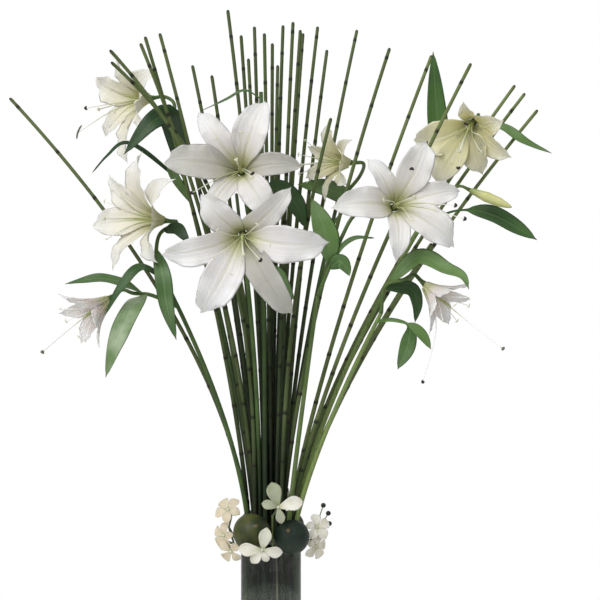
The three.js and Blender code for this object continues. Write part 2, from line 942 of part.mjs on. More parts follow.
// Green stem with the stalks of its blooms and its leaves
function lilyStem(slot, spec) {
  const top = seen(...spec.top);
  const heights = [FOOT, FAN_START];
  const steps = 5;
  for (let k = 1; k <= steps; k++) heights.push(FAN_START + ((top.z - FAN_START) * k) / steps);
  const at = (z) => stemPoint(slot, top, spec.bend, z);
  const stemPoints = heights.map(at);
  const radii = heights.map((z) => {
    const rise = Math.max(z - FAN_START, 0) / (top.z - FAN_START);
    return LILY_STEM_RADIUS - STEM_THINNING * rise;
  });
  const stalkCurves = spec.stalks.map(({ bloom, from, via }) => {
    const frame = bloomFrame(BLOOMS[bloom]);
    const back = (distance) => frame.base.clone().addScaledVector(frame.axis, -distance);
    return [from ? at(from) : top, ...via.map((p) => seen(...p)), back(24), back(10), back(GAP)];
  });
  const parts = [];
  stalkCurves.forEach((points, k) => {
    const bent = [...curvePoints(points.slice(0, -1), 5), points[points.length - 1]];
    const thin = bent.map(() => PEDICEL_RADIUS);
    if (spec.stalks[k].from) {
      parts.push(solidOf(tube(bent, thin, STEM_SIDES)));
    } else {
      const whole = [...stemPoints, ...bent.slice(1)];
      parts.push(solidOf(tube(whole, [...radii, ...thin.slice(1)], STEM_SIDES)));
    }
  });
  if (spec.stalks.every((stalk) => stalk.from)) {
    parts.push(solidOf(tube(stemPoints, radii, STEM_SIDES)));
  }
  spec.leaves.forEach((shape) => {
    const root = shape.at
      ? at(shape.at)
      : curveThrough(stalkCurves[shape.stalk].slice(0, -1)).getPointAt(shape.share);
    parts.push(solidOf(leaf(root, shape)));
  });
  if (BUD.stem === spec.name) {
    const base = seen(...BUD.base);
    const axis = seen(...BUD.tip).sub(base).normalize();
    const back = (distance) => base.clone().addScaledVector(axis, -distance);
    const stalk = [at(BUD.from), back(16), back(GAP)];
    parts.push(solidOf(tube(stalk, stalk.map(() => BUD_STALK_RADIUS), STEM_SIDES)));
  }
  return fused(parts);
}

// Closed yellow-green bud
function lilyBud() {
  const base = seen(...BUD.base);
  const along = seen(...BUD.tip).sub(base);
  const place = (t) => base.clone().addScaledVector(along, t);
  const r = BUD.radius;
  const shares = [0, 0.12, 0.4, 0.72, 0.94, 1];
  return solidOf(tube(shares.map(place), [3.4, 0.62 * r, r, 0.86 * r, 0.4 * r, 1.2], 6));
}

// Clear vase with a thick floor
function vase() {
  const profile = [
    [0, 0],
    [VASE_RADIUS - FOOT_BEVEL, 0],
    [VASE_RADIUS, FOOT_BEVEL],
    [VASE_RADIUS, VASE_HEIGHT - LIP_BEVEL],
    [VASE_RADIUS - LIP_BEVEL, VASE_HEIGHT],
    [VASE_RADIUS - VASE_WALL, VASE_HEIGHT],
    [VASE_RADIUS - VASE_WALL, VASE_FLOOR],
    [0, VASE_FLOOR],
  ].map(([x, y]) => new THREE.Vector2(x, y));
  const geometry = new THREE.LatheGeometry(profile, VASE_SIDES);
  geometry.rotateX(Math.PI / 2);
  return solidOf(geometry);
}

// Water with a plain slot for each rank of stems
function water(slots) {
  const profile = [
    [0, VASE_FLOOR + GAP],
    [VASE_RADIUS - VASE_WALL - GAP, VASE_FLOOR + GAP],
    [VASE_RADIUS - VASE_WALL - GAP, WATER_LEVEL],
    [0, WATER_LEVEL],
  ].map(([x, y]) => new THREE.Vector2(x, y));
  const geometry = new THREE.LatheGeometry(profile, VASE_SIDES);
  geometry.rotateX(Math.PI / 2);
  const ranks = [];
  slots.forEach((slot) => {
    const radius = (slot.partner ? HORSETAIL_RADIUS : LILY_STEM_RADIUS) + SLOT_PLAY;
    const ends = [stemFoot(slot, FOOT - 2), new THREE.Vector3(slot.x, slot.y, WATER_LEVEL + 1)];
    ranks[slot.rank] ??= [];
    const spin = slot.partner ? PAIR_SPIN : 0;
    ranks[slot.rank].push(solidOf(tube(ends, [radius, radius], STEM_SIDES, spin)));
  });
  const holes = ranks.map((sleeves) => wasm.Manifold.hull(sleeves));
  return solidOf(geometry).subtract(wasm.Manifold.union(holes));
}

// Lime: a rounded body with a small nipple, leaning forward
function lime({ angle, distance, height, radius, roll }) {
  const profile = [
    [0, -1.04],
    [0.5, -0.87],
    [0.87, -0.47],
    [1, 0],
    [0.87, 0.49],
    [0.48, 0.89],
    [0.17, 1.03],
    [0, 1.13],
  ].map(([x, y]) => new THREE.Vector2(x * radius, y * radius));
  const geometry = new THREE.LatheGeometry(profile, LIME_SIDES);
  geometry.rotateX(Math.PI / 2);
  geometry.rotateX(radians(LIME_LEAN));
  geometry.rotateY(radians(roll));
  const turn = radians(angle);
  geometry.translate(distance * Math.sin(turn), -distance * Math.cos(turn), height);
  return solidOf(geometry);
}

// Waxy floret: a tube back to the knot of the spray and blunt spoon-shaped petals
function floret(knot, { centre, face, petals }) {
  const middle = new THREE.Vector3(...centre);
  const axis = new THREE.Vector3(...face).normalize();
  const right = new THREE.Vector3(0, 0, 1).cross(axis).normalize();
  const up = axis.clone().cross(right);
  const neck = middle.clone().addScaledVector(axis, -FLORET_NECK);
  const outline = [];
  const corner = (degrees, out, sink) => {
    const angle = radians(degrees);
    outline.push(
      middle
        .clone()
        .addScaledVector(right, out * Math.cos(angle))
        .addScaledVector(up, out * Math.sin(angle))
        .addScaledVector(axis, -sink),
    );
  };
  const inOrder = [...petals].sort((p, q) => p[0] - q[0]);
  inOrder.forEach(([angle, length], k) => {
    const next = inOrder[(k + 1) % inOrder.length][0];
    const gap = (next - angle + 360) % 360;
    corner(angle - PETAL_SPREAD, PETAL_SHOULDER * length, 2);
    corner(angle, length, 3);
    corner(angle + PETAL_SPREAD, PETAL_SHOULDER * length, 2);
    corner(angle + gap / 2, 5, 0.6);
  });
  const triangles = outline.map((p, k) => [0, k + 1, ((k + 1) % outline.length) + 1]);
  return [
    solidOf(tube([knot, neck, middle.clone().addScaledVector(axis, -0.2)], [1.4, 1.8, 2.6], 4)),
    solidOf(sheet([middle, ...outline], triangles, PETAL_THICKNESS)),
  ];
}

function floretSpray({ root, knot, florets }) {
  const join = new THREE.Vector3(...knot);
  const foot = new THREE.Vector3(...root);
  const beyond = join.clone().sub(foot).setLength(1.2).add(join);
  const parts = [solidOf(tube([foot, beyond], [1.6, 1.6], 5))];
  florets.forEach((shape) => parts.push(...floret(join, shape)));
  return fused(parts);
}

// Green band around the mouth of the vase with a few small leaves and berries
function collar() {
  const band = new THREE.TorusGeometry(COLLAR_RADIUS, COLLAR_TUBE, 4, 30);
  band.translate(0, 0, COLLAR_HEIGHT);
  const parts = [solidOf(band)];
  // Leaves: angle from the front, length, width and rise
  const leaves = [
    [-88, 32, 15, 16],
    [100, 28, 14, 10],
  ];
  leaves.forEach(([angle, length, width, rise]) => {
    const turn = radians(angle);
    const outward = new THREE.Vector3(Math.sin(turn), -Math.cos(turn), 0);
    const sideways = new THREE.Vector3(Math.cos(turn), Math.sin(turn), 0);
    const grid = [0, 0.45, 1].map((t) => {
      const half = Math.max(1.2, width * 0.5 * Math.sin(Math.PI * (0.2 + 0.75 * t)));
      return [-1, 1].map((v) =>
        new THREE.Vector3(0, 0, COLLAR_HEIGHT + rise * t)
          .addScaledVector(outward, COLLAR_RADIUS + length * t)
          .addScaledVector(sideways, v * half),
      );
    });
    parts.push(solidOf(blade(grid, LEAF_THICKNESS)));
  });
  // Berries: angle from the front, distance from the axis and height
  const berries = [
    [78, 80, 394],
    [80, 87, 382],
    [83, 88, 366],
  ];
  berries.forEach(([angle, distance, height]) => {
    const turn = radians(angle);
    const outward = new THREE.Vector3(Math.sin(turn), -Math.cos(turn), 0);
    const centre = outward.clone().multiplyScalar(distance).setZ(height);
    const root = outward.clone().multiplyScalar(COLLAR_RADIUS).setZ(COLLAR_HEIGHT);
    const berry = new THREE.IcosahedronGeometry(BERRY_RADIUS);
    berry.translate(...centre.toArray());
    parts.push(solidOf(tube([root, centre], [1, 1], 4)), solidOf(berry));
  });
  return fused(parts);
}

const MATERIALS = {
  glass: { color: 0xdfeae4, roughness: 0.05, metalness: 0, transparent: true, opacity: 0.35 },
  water: { color: 0xcfdcd4, roughness: 0.05, metalness: 0, transparent: true, opacity: 0.4 },
  horsetail: { color: 0x3c5a2c, roughness: 0.6, metalness: 0 },
  leaf: { color: 0x3f7a35, roughness: 0.45, metalness: 0 },
  tepal: { color: 0xf4f2ea, roughness: 0.55, metalness: 0 },
  stamen: { color: 0x9aa05a, roughness: 0.6, metalness: 0 },
  bud: { color: 0xc9cf7a, roughness: 0.5, metalness: 0 },
  lime: { color: 0x35592e, roughness: 0.4, metalness: 0 },
  floret: { color: 0xf3f0df, roughness: 0.5, metalness: 0 },
};

const group = new THREE.Group();
function add(name, solid, material) {
  const mesh = new THREE.Mesh(geometryOf(solid), new THREE.MeshStandardMaterial(MATERIALS[material]));
  mesh.name = name;
  group.add(mesh);
}

const slots = stemSlots();
add('vase_glass', vase(), 'glass');
add('water', water(slots), 'water');
horsetailPairs(slots).forEach((pair, k) => {
  add(`horsetails_${String(k + 1).padStart(2, '0')}`, pair, 'horsetail');
});
for (const [name, spec] of Object.entries(LILY_STEMS)) {
  const slot = slots.find(({ stem }) => stem === `lily_${name}`);
  add(`lily_stem_${name}`, lilyStem(slot, { name, ...spec }), 'leaf');
}
for (const [name, bloom] of Object.entries(BLOOMS)) {
  add(`lily_bloom_${name}`, lilyBloom(bloom), 'tepal');
  add(`lily_stamens_${name}`, lilyStamens(bloom), 'stamen');
}
add('lily_bud', lilyBud(), 'bud');
LIMES.forEach((shape, k) => add(`lime_${k + 1}`, lime(shape), 'lime'));
add('collar_band', collar(), 'leaf');
SPRAYS.forEach((shape, k) => add(`floret_spray_${k + 1}`, floretSpray(shape), 'floret'));

export default group;
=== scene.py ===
"""White lilies, horsetail stems, limes and florets in a clear vase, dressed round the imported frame.

Lengths are in millimetres until a mesh is made. +Z is up, +X is right and -Y is towards the viewer.
"""

import math

import bpy
import numpy as np
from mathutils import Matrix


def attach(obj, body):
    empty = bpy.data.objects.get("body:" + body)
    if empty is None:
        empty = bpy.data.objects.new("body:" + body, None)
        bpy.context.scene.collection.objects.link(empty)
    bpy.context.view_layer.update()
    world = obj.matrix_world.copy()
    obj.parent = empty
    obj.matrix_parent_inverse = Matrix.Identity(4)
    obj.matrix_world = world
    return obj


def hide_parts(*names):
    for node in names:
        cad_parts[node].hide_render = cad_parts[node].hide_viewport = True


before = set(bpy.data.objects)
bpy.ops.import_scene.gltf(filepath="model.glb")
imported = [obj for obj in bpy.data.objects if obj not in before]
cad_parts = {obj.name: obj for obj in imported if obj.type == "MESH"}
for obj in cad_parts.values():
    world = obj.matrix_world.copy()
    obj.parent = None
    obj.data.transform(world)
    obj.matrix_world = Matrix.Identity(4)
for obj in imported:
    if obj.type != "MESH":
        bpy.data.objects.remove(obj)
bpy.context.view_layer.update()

TAU = 2 * math.pi
METRES = 0.001
UP = np.array([0.0, 0.0, 1.0])

# Vase and water; the meniscus is given as distance in from the glass and height above the level
VASE_RADIUS = 45
VASE_WALL = 3
VASE_FLOOR = 12
VASE_HEIGHT = 350
VASE_SIDES = 160
WALL_RINGS = [60, 120, 200, 280]
NEAR_AXIS = 0.5
FOOT_ROUND = 2
LIP_ROUND = 1.4
LIP_DROP = 1.5
FLOOR_ROUND = 6
WATER_LEVEL = 326
WATER_RINGS = [120, 240]
WATER_OVERLAP = 0.15
MENISCUS = [(0, 0.4), (1, -0.6), (3, -1.1)]
GAP = 0.3

# Stems
COLUMN_PITCH = 8
ROW_PITCH = 8.6
FAN_START = 335
FOOT = VASE_FLOOR + GAP
LEAN = 1.5
BEND = 1.46
THINNING = 0.26
HORSETAIL_RADIUS = 3.5
HORSETAIL_SIDES = 18
RIDGE_DEPTH = 0.028
RING_SPACING = 16
LILY_STEM_RADIUS = 3.7
STEM_THINNING = 0.7
STEM_RINGS = [120, 230]

# Flower stalks: two distances straight behind the bloom, shares of the length and the radii there, and
# the cup as distance and radius
STALK_BACK = (24, 10)
STALK_RADII = ([0, 0.06, 0.85, 1], [3.3, 2.9, 2.8, 3.1])
STALK_CUP = [(4, 4.2), (0.2, 5.6)]
BUD_STALK_RADIUS = 2.2
BUD_STALK_BACK = 16

# Joints of the horsetails, twice as many as the solids have
JOINT_SPACING = 144
SEEN_JOINT_SPACING = 72
FIRST_JOINT = 34
JOINT_STAGGER = 37
STAGGER_SHARE = 0.75
FOOT_CLEAR = 8
TIP_CLEAR = 12

# A joint's dark toothed sheath: height above the joint, how far it stands out from the stem and how
# dark it is on the ridges and in the furrows; the stem's own rings keep clear of it, below and above
SHEATH = [
    (-2.6, 0.05, 0, 0),
    (-1.4, 0.2, 0.7, 0.7),
    (0.2, 0.35, 0.95, 0.95),
    (1.6, 0.3, 1, 0.85),
    (2.8, 0.2, 0.9, 0.3),
    (4.4, -0.05, 0.5, 0),
    (5.8, -0.1, 0, 0),
]
SHEATH_CLEAR = (6, 13)

# The cut tip of a horsetail: distance below the tip, share of the radius and darkness
CUT_TIP = [(3, 1, 0.3), (1, 0.8, 1), (0, 0.35, 1)]

# Tepals: the twist of their edges is given as shares of the length and the sizes there, and the waves
# as number, size and shift
TEPAL_ROWS = 46
TEPAL_POINTS = 21
BASE_RADIUS = 6
THROAT_HEIGHT = 50
TEPAL_THICKNESS = 1.2
TEPAL_START_ANGLE = 20
OPENING_CURVE = 1.2
TUBE_OVERLAP = 5
FULL_REACH = 118
INNER_WIDTH = 54
OUTER_WIDTH = 41
RUFFLE = 3.2
OUTER_RUFFLE = 0.65
EDGE_TWIST = ([0, 0.3, 0.47, 0.66, 0.85, 1], [0, 0, 0.05, 0.16, -0.2, 0])
WAVES = [(3.2, 1, 1), (8.1, 0.35, 2.3)]
FURROW_DEPTH = 1.1
FURROW_WIDTH = 0.11
CUPPING = 0.26
LAYER_STEP = 0.8
# Painted shade on every tepal of a bloom that lists none of its own
PLAIN_PAINTED_SHADE = 0.06

# Leaves of the lilies
LEAF_ROWS = 34
LEAF_POINTS = 11
LEAF_FOLD = 0.2
LEAF_WAVE = 0.09
LEAF_WAVES = 2.3

# Stamens and styles where their ends aren't seen, and their thickness
STAMEN_SPREAD = 40
STAMEN_HEIGHT = 88
STAMEN_TURN = 8
FILAMENT_START = 12
FILAMENT_RADIUS = 0.95
FILAMENT_THINNING = 0.4
STYLE_SPREAD = 8
STYLE_HEIGHT = 104
OVARY_HEIGHT = 26
STIGMA_RADIUS = 2.9
STIGMA_HALF_HEIGHT = 2.2

# Anthers: half their length and thickness, and how dark they are; the long one lies across the view
ANTHERS = {"long": (12, 1.7, 0.8), "ripe": (3.4, 2.3, 1.0), "young": (4.2, 0.9, 0.0)}
LONG_ANTHER_LEAN = np.array([0.34, 0.0, 0.94])

# The viewer's place and the picture it sees: width at the vase's axis
EYE = np.array([43.5, -2600.0, 700.0])
PICTURE_WIDTH = 900
SENSOR = 36

# Studio: floor and white surround in metres, strength of the light, and angles of the sun
FLOOR_RADIUS = 1.35
FLOOR_DROP = 0.0005
FLOOR_SIDES = 96
SURROUND = 9
SURROUND_ROWS = 24
SURROUND_SIDES = 48
POLE_ANGLE = 0.01
VIEW_END = 50
AMBIENT = 0.5
KEY = 2.2
KEY_SPREAD = 40
KEY_TURN = (50, 0, -35)

# Horsetail tips on the front view: x, z, depth and a bend other than BEND; a letter is a lily's stem
COLUMNS = [
    (-1, ["c", (-189, 1095, 0), (-392, 1003, 110, 1.7)]),
    (-1.5, [(-242, 1075, -70, 3.2), (-240, 1057, -50, 3.8), (-196, 1085, -20, 1.8), (-167, 1100, 20), "d"]),
    (-1, ["a", (-89, 1037, 40), (-118, 1052, 110)]),
    (-2.5, ["b", (-65, 1135, 30, 1.8), (-45, 1097, 70), (-25, 1110, 110), (-34, 1062, 160)]),
    (-1, [(-10, 1100, 40), (2, 1085, 80), (18, 1112, 120), (10, 1052, 165)]),
    (-1.5, [(33, 1117, 20), (44, 1105, 60), (48, 1100, 105), (70, 1110, 150)]),
    (-2, [(90, 973, -15, 2.3), (178, 1078, 2, 1.5), (84, 1075, 155), (129, 1105, 205), "g"]),
    (-2.3, ["e", (300, 1055, -32, 1.35), (241, 1067, 40, 1.3), (366, 1022, 105), (381, 1010, 140)]),
    (-1.6, ["i", "f", (241, 785, 45), (400, 985, 104)]),
]

# Shorter horsetails behind the columns, side by side in pairs: x and y in the vase, and the stem
BACK_STEMS = [
    (-20, 28.5, (-82, 850, 150)),
    (-12, 24, (-52, 860, 150)),
    (-4, 24, (-15, 866, 160)),
    (4, 24.5, (19, 858, 165)),
]

# How pale the horsetails of each column are, as painted light at the sides of the bundle and painted
# shade in its middle, and their steps in tone; those behind this row are dark with painted shade
PAINTED_COLUMN_LIGHT = [0.35, 0.28, 0.1, 0.03, 0.03, 0.08, 0.22, 0.5, 0.6]
TONE_STAGGER = 53
TONE_STEPS = 17
BACK_ROW = 23

# Stem with a dry brown seam: its x and the row it stands before, its sides that face the front, how
# far past FAN_START the seam reaches and how brown it is
SEAM_STEM = (8, -10)
FRONT_SIDES = (13, 14)
SEAM_REACH = 10
SEAM_TONE = 0.7

# Blooms: throat on the front view and its depth, turn and tilt in degrees, tepals as direction,
# reach and opening angle, the stamens and style whose place is seen (x, z and distance from the
# base), fullness of the broader ones, how much painted shade greys each tepal, and tint to cream
# and to pink
BLOOMS = {
    "a": dict(
        throat=(-44, 788, -165), turn=0, tilt=-15,
        tepals=[
            (358, 124, 118), (303, 132, 122), (241, 124, 118),
            (192, 118, 126), (134, 84, 134), (46, 100, 128),
        ],
        stamens={1: (-16, 760, 100)},
        painted_shades=[0.0, 0.8, 0.0, 0.1, 0.3, 0.35],
        tint=(0.0, 0.25),
    ),
    "b": dict(
        throat=(-50, 904, -95), turn=-5, tilt=10,
        tepals=[
            (70, 106, 118), (2, 92, 128), (303, 92, 126),
            (238, 92, 126), (176, 112, 124), (127, 104, 118),
        ],
        stamens={1: (-28, 890, 100), 3: (-98, 850, 104), 4: (-118, 861, 118)},
        painted_shades=[0.05, 0.75, 0.0, 0.1, 0.7, 0.05],
        tint=(0.05, 0.3),
    ),
    "c": dict(
        throat=(-208, 824, -60), turn=-60, tilt=4,
        tepals=[(92, 98, 105), (38, 90, 130), (300, 76, 118), (238, 92, 84), (187, 92, 66), (136, 94, 78)],
        tint=(0.35, 0.22),
    ),
    "d": dict(
        throat=(-224, 997, 120), turn=-60, tilt=-10,
        tepals=[(150, 90, 84), (92, 74, 84), (26, 84, 126), (328, 82, 82), (270, 96, 84), (212, 90, 84)],
        stamens={0: (-277, 988, 106), 5: (-288, 952, 110)},
        long_anther=5,
        tint=(0.45, 0.15),
    ),
    "e": dict(
        throat=(197, 850, -90), turn=12, tilt=10,
        tepals=[
            (184, 100, 126), (122, 80, 122), (64, 104, 116),
            (12, 98, 124), (322, 104, 126), (266, 86, 124),
        ],
        stamens={2: (211, 896, 104), 3: (276, 842, 122), 4: (290, 822, 134)},
        painted_shades=[0.22, 0.15, 0.15, 0.06, 0.06, 0.06],
        tint=(0.05, 0.25),
    ),
    "f": dict(
        throat=(290, 947, 5), turn=-25, tilt=-30,
        fullness=1.25,
        tepals=[(186, 88, 100), (232, 98, 92), (282, 72, 84), (326, 78, 90), (12, 60, 90), (90, 46, 76)],
        stamens={0: (234, 935, 104), 2: (281, 899, 104), 5: (292, 964, 98)},
        painted_shades=[0.0, 0.15, 0.4, 0.2, 0.0, 0.05],
        tint=(1.0, 0.0),
    ),
    "g": dict(
        throat=(73, 908, 46), turn=-65, tilt=0,
        tepals=[(95, 66, 98), (150, 54, 56), (205, 54, 52), (262, 62, 84), (320, 60, 100), (30, 60, 110)],
        tint=(0.75, 0.25),
    ),
    "h": dict(
        throat=(-284, 672, -55), turn=-70, tilt=-35,
        tepals=[(100, 50, 40), (40, 50, 44), (340, 48, 48), (280, 50, 42), (220, 56, 40), (160, 56, 40)],
        style=(-343, 622, 138),
        tint=(0.0, 0.9),
    ),
    "i": dict(
        throat=(267, 690, -60), turn=60, tilt=-40,
        tepals=[(80, 46, 42), (20, 50, 44), (320, 50, 44), (260, 50, 42), (200, 50, 44), (140, 48, 44)],
        stamens={3: (228, 578, 146)},
        style=(348, 627, 152),
        tint=(0.0, 0.7),
    ),
}

# Lily stems: top on the front view, a bend other than BEND, stalks as bloom, height of the fork and
# points, and leaves as base (height, or stalk and share of its length), points, width, way the face
# looks, the share that is a slim stalk, and how much painted whitish sheen it has, or below 0 how dark
LILY_STEMS = {
    "a": dict(top=(-39, 762, -54), bend=2.2, stalks=[("a", None, [(-43, 798, -74)])], leaves=[]),
    "b": dict(
        top=(-15, 1012, -12),
        stalks=[("b", 770, [(-34, 826, -20)])],
        leaves=[
            (1000, [(-40, 1014, -18), (-66, 1001, -24), (-102, 985, -24)], 9, (0, -0.5, 1)),
            (748, [(8, 738, -34), (20, 720, -42), (35, 700, -44)], 24, (0, -1, 0.2)),
            (862, [(10, 866, -32), (36, 846, -38), (52, 808, -36)], 32, (0, -1, 0.2), 0, -0.55),
        ],
    ),
    "c": dict(
        top=(-174, 757, -60),
        bend=1.6,
        stalks=[("c", None, [(-166, 800, -36)]), ("h", 690, [(-182, 708, -48), (-206, 710, -52)])],
        leaves=[
            ((1, 0.45), [(-206, 690, -96), (-232, 636, -112), (-248, 584, -106)],
             31, (-0.3, -1, 0.1), 0, 0.6),
            (734, [(-198, 748, -98), (-226, 718, -110), (-249, 677, -106)], 16, (-0.2, -1, 0.5), 0, -0.4),
            ((0, 0.22), [(-162, 734, -84), (-156, 690, -90), (-142, 640, -84)], 25, (0.1, -1, 0)),
            ((0, 0.6), [(-140, 806, -58), (-131, 796, -66), (-121, 784, -70)], 20, (0, -1, 0.3), 0, -0.7),
            ((1, 0.5), [(-220, 724, -70), (-256, 732, -82), (-309, 724, -88)], 20, (0, -0.8, 0.8)),
        ],
    ),
    "d": dict(
        top=(-150, 950, 136),
        stalks=[("d", None, [(-146, 996, 152)])],
        leaves=[
            (890, [(-150, 972, 60), (-174, 970, 28), (-221, 918, 20)], 38, (-0.3, -1, 0), 0, -0.6),
            (880, [(-218, 936, 84), (-246, 916, 74), (-268, 891, 70)], 8, (0, -1, 0.5), 0, -0.7),
            (850, [(-150, 900, 96), (-142, 920, 92), (-131, 945, 88)], 15, (0.2, -1, 0.2)),
        ],
    ),
    "e": dict(
        top=(70, 706, -34),
        bend=1.15,
        stalks=[("e", None, [(92, 760, -38), (107, 796, -34), (124, 826, -26), (152, 842, -14)])],
        leaves=[
            ((0, 0.24), [(86, 786, -48), (76, 816, -52), (61, 852, -46)], 36, (0.2, -1, 0)),
            ((0, 0.25), [(108, 782, -44), (126, 793, -46), (155, 793, -46)], 8, (0, -1, 0.3)),
            ((0, 0.21), [(103, 758, -46), (112, 749, -48), (118, 736, -48)], 22, (0.2, -1, 0.1)),
        ],
    ),
    "f": dict(
        top=(280, 900, 64),
        stalks=[("f", None, [(300, 955, 80)])],
        leaves=[
            (890, [(254, 936, 82), (248, 988, 86), (243, 1073, 86)], 32, (0.1, -1, 0), 0, -0.2),
            ((0, 0.7), [(350, 958, 84), (380, 938, 80), (421, 920, 78)], 18, (0, -1, 0.8)),
            (815, [(280, 834, 40), (330, 828, 24), (399, 790, 16)], 34, (0.1, -1, 0.7), 0.38, -0.35),
        ],
    ),
    "g": dict(
        top=(100, 848, 118),
        stalks=[("g", None, [(132, 884, 118)])],
        leaves=[(815, [(114, 848, 98), (84, 867, 88), (40, 873, 82)], 30, (0, -1, 0.2), 0.2)],
    ),
    "i": dict(
        top=(165, 680, -40),
        bend=1.35,
        stalks=[("i", None, [(172, 722, -44), (200, 731, -48)])],
        leaves=[
            ((0, 0.45), [(222, 764, -60), (262, 747, -78), (288, 735, -98), (297, 716, -106)],
             28, (0.1, -1, 0.6)),
            ((0, 0.35), [(211, 716, -30), (219, 696, -28), (216, 666, -26)], 21, (0.1, -1, 0), 0, -0.6),
            (668, [(182, 671, -50), (207, 661, -48), (205, 632, -42), (190, 596, -34)],
             24, (0.1, -1, 0.1), 0.4),
            (668, [(182, 669, -60), (210, 662, -66), (228, 646, -68), (240, 626, -66)],
             16, (0, -1, 0.3), 0.5),
        ],
    ),
}

# Painted light: how yellow-green the stems at the right are; and the stems that stay light low down,
# out of the painted shade
PAINTED_LIGHT_STEMS = {"e": 0.25, "f": 0.5, "i": 0.6}
OUTER_STEMS = "cfi"

# Bud on the right-hand stem, with its radius at shares of its length
BUD_STEM = "f"
BUD_FROM = 850
BUD_BASE = (298, 865, 10)
BUD_TIP = (361, 839, -6)
BUD_SHARES = [0, 0.05, 0.12, 0.4, 0.72, 0.94, 1]
BUD_RADII = [3.2, 4.2, 5.0, 8.0, 6.9, 3.2, 1.0]
BUD_SEAM_DEPTH = 0.07

# Florets of the collar: centre, way it faces, and petals as direction in degrees and length; how
# broad the petals are for their length, how brownish they are, and how much painted shade each petal
# has; the tube is shares of its length and the radii there
FLORET_NECK = 12
FLORET_TUBE = ([0, 0.6, 1], [1.3, 1.7, 2.7])
FLORET_STALK_RADIUS = 1.6
CROWN_RADIUS = 2.4
FLORET_BREADTH = 0.36
FLORET_BLUSH = 0.15
SPRAYS = [
    dict(
        root=(3.4, -50.3, 335.6), knot=(3.4, -66, 384),
        florets=[((12, -84, 399), (0, -1, 0.2), [(105, 38), (14, 37), (282, 24), (166, 25)])],
        breadth=0.27,
        painted_shades=[0.72, 0.0, 0.6, 0.66],
    ),
    dict(
        root=(-7, -52.5, 331), knot=(-10, -72, 327),
        florets=[((-11, -94, 339), (0, -1, -0.15), [(78, 33), (350, 30), (292, 20), (232, 26), (178, 35)])],
        breadth=0.27,
        painted_shades=[0.25, 0.1, 0.05, 0.05, 0.1],
    ),
    dict(
        root=(-48.4, -14, 335.2), knot=(-62, -24, 362),
        florets=[
            ((-62, -44, 390), (-0.4, -1, 0.7), [(60, 22), (132, 23), (204, 22), (276, 20), (348, 19)]),
            ((-68, -40, 352), (-0.8, -0.9, 0), [(82, 21), (154, 22), (226, 23), (298, 21), (10, 16)]),
            ((-58, -46, 330), (-0.4, -1, -0.4), [(45, 17), (135, 21), (225, 21), (315, 19)]),
        ],
        blush=0.75,
    ),
    dict(
        root=(48.4, -14, 335.2), knot=(62, -24, 354),
        florets=[
            ((68, -38, 364), (0.3, -1, 0.4), [(20, 22), (92, 21), (164, 16), (236, 19), (308, 22)]),
            ((66, -36, 336), (0.6, -0.9, -0.1), [(80, 18), (152, 15), (224, 20), (296, 22), (8, 20)]),
        ],
    ),
    dict(
        root=(0, 50.4, 335.6), knot=(0, 62, 382),
        florets=[
            ((-12, 80, 400), (-0.3, 1, 0.4), [(30, 24), (102, 24), (174, 22), (246, 20), (318, 22)]),
            ((24, 80, 394), (0.4, 1, 0.4), [(75, 20), (147, 18), (219, 20), (291, 18), (3, 20)]),
        ],
    ),
]

# Limes: angle from the front, distance from the axis, height, radius, roll and how olive it is; the
# profile is radius and height for a lime of radius 1
LIMES = [
    (-22.5, 70.8, 360, 28, 30, 1.0),
    (27.2, 69.7, 353, 26, -24, 0.0),
    (156, 66.9, 354, 23, 15, 0.5),
    (204, 66.8, 355, 23, -15, 0.3),
]
LIME_LEAN = 60
LIME_FIT = 0.985
LIME_LUMPS = 0.012
LIME_PROFILE = [
    (0.02, -1.04), (0.5, -0.87), (0.87, -0.47), (1, 0),
    (0.87, 0.49), (0.48, 0.89), (0.17, 1.03), (0.02, 1.13),
]

# Band round the mouth of the vase: small leaves as angle, length, width and rise, and berries as
# angle, distance and height
COLLAR_RADIUS = 49.3
COLLAR_TUBE = 3.3
COLLAR_HEIGHT = 332
COLLAR_STRANDS = 3
COLLAR_TWISTS = 16
COLLAR_LEAVES = [(-88, 32, 15, 16), (100, 28, 14, 10)]
BERRIES = [(78, 80, 394), (80, 87, 382), (83, 88, 366)]
BERRY_RADIUS = 3.7
BERRY_STALK_RADIUS = 0.8


def unit(v):
    return v / np.linalg.norm(v)


def turns(count):
    """Angles evenly round a circle."""
    return TAU * np.arange(count) / count


def shares(count):
    """Even shares from 0 to 1."""
    return np.linspace(0, 1, count)


def facing(degrees):
    """Level direction at an angle from the front."""
    turn = math.radians(degrees)
    return np.array([math.sin(turn), -math.cos(turn), 0])


def sides_of(axis):
    """Right and up for someone who looks against an axis."""
    right = unit(np.cross(UP, axis))
    return right, np.cross(axis, right)


def spread(radius, angle, side, up):
    """Offsets from a centre at angles from side towards up."""
    return np.outer(radius * np.cos(angle), side) + np.outer(radius * np.sin(angle), up)


def level_rings(radius, angle, height):
    """Points round the vertical axis."""
    radius, angle, height = np.broadcast_arrays(radius, angle, height)
    return np.stack([radius * np.cos(angle), radius * np.sin(angle), height], -1)


def turned(profile, sides):
    """Rings of a turned solid from radius and height pairs."""
    radius, height = np.array(profile, float).T[..., None]
    return level_rings(radius, turns(sides), height)


def seen(x, z, depth):
    """The point at a depth that is seen at x, z on the front view."""
    return EYE + (np.array([x, 0.0, z]) - EYE) * (depth - EYE[1]) / -EYE[1]


def smooth(t, low, high):
    """Smooth step from 0 at low to 1 at high."""
    s = np.clip((np.asarray(t, float) - low) / (high - low), 0, 1)
    return s * s * (3 - 2 * s)


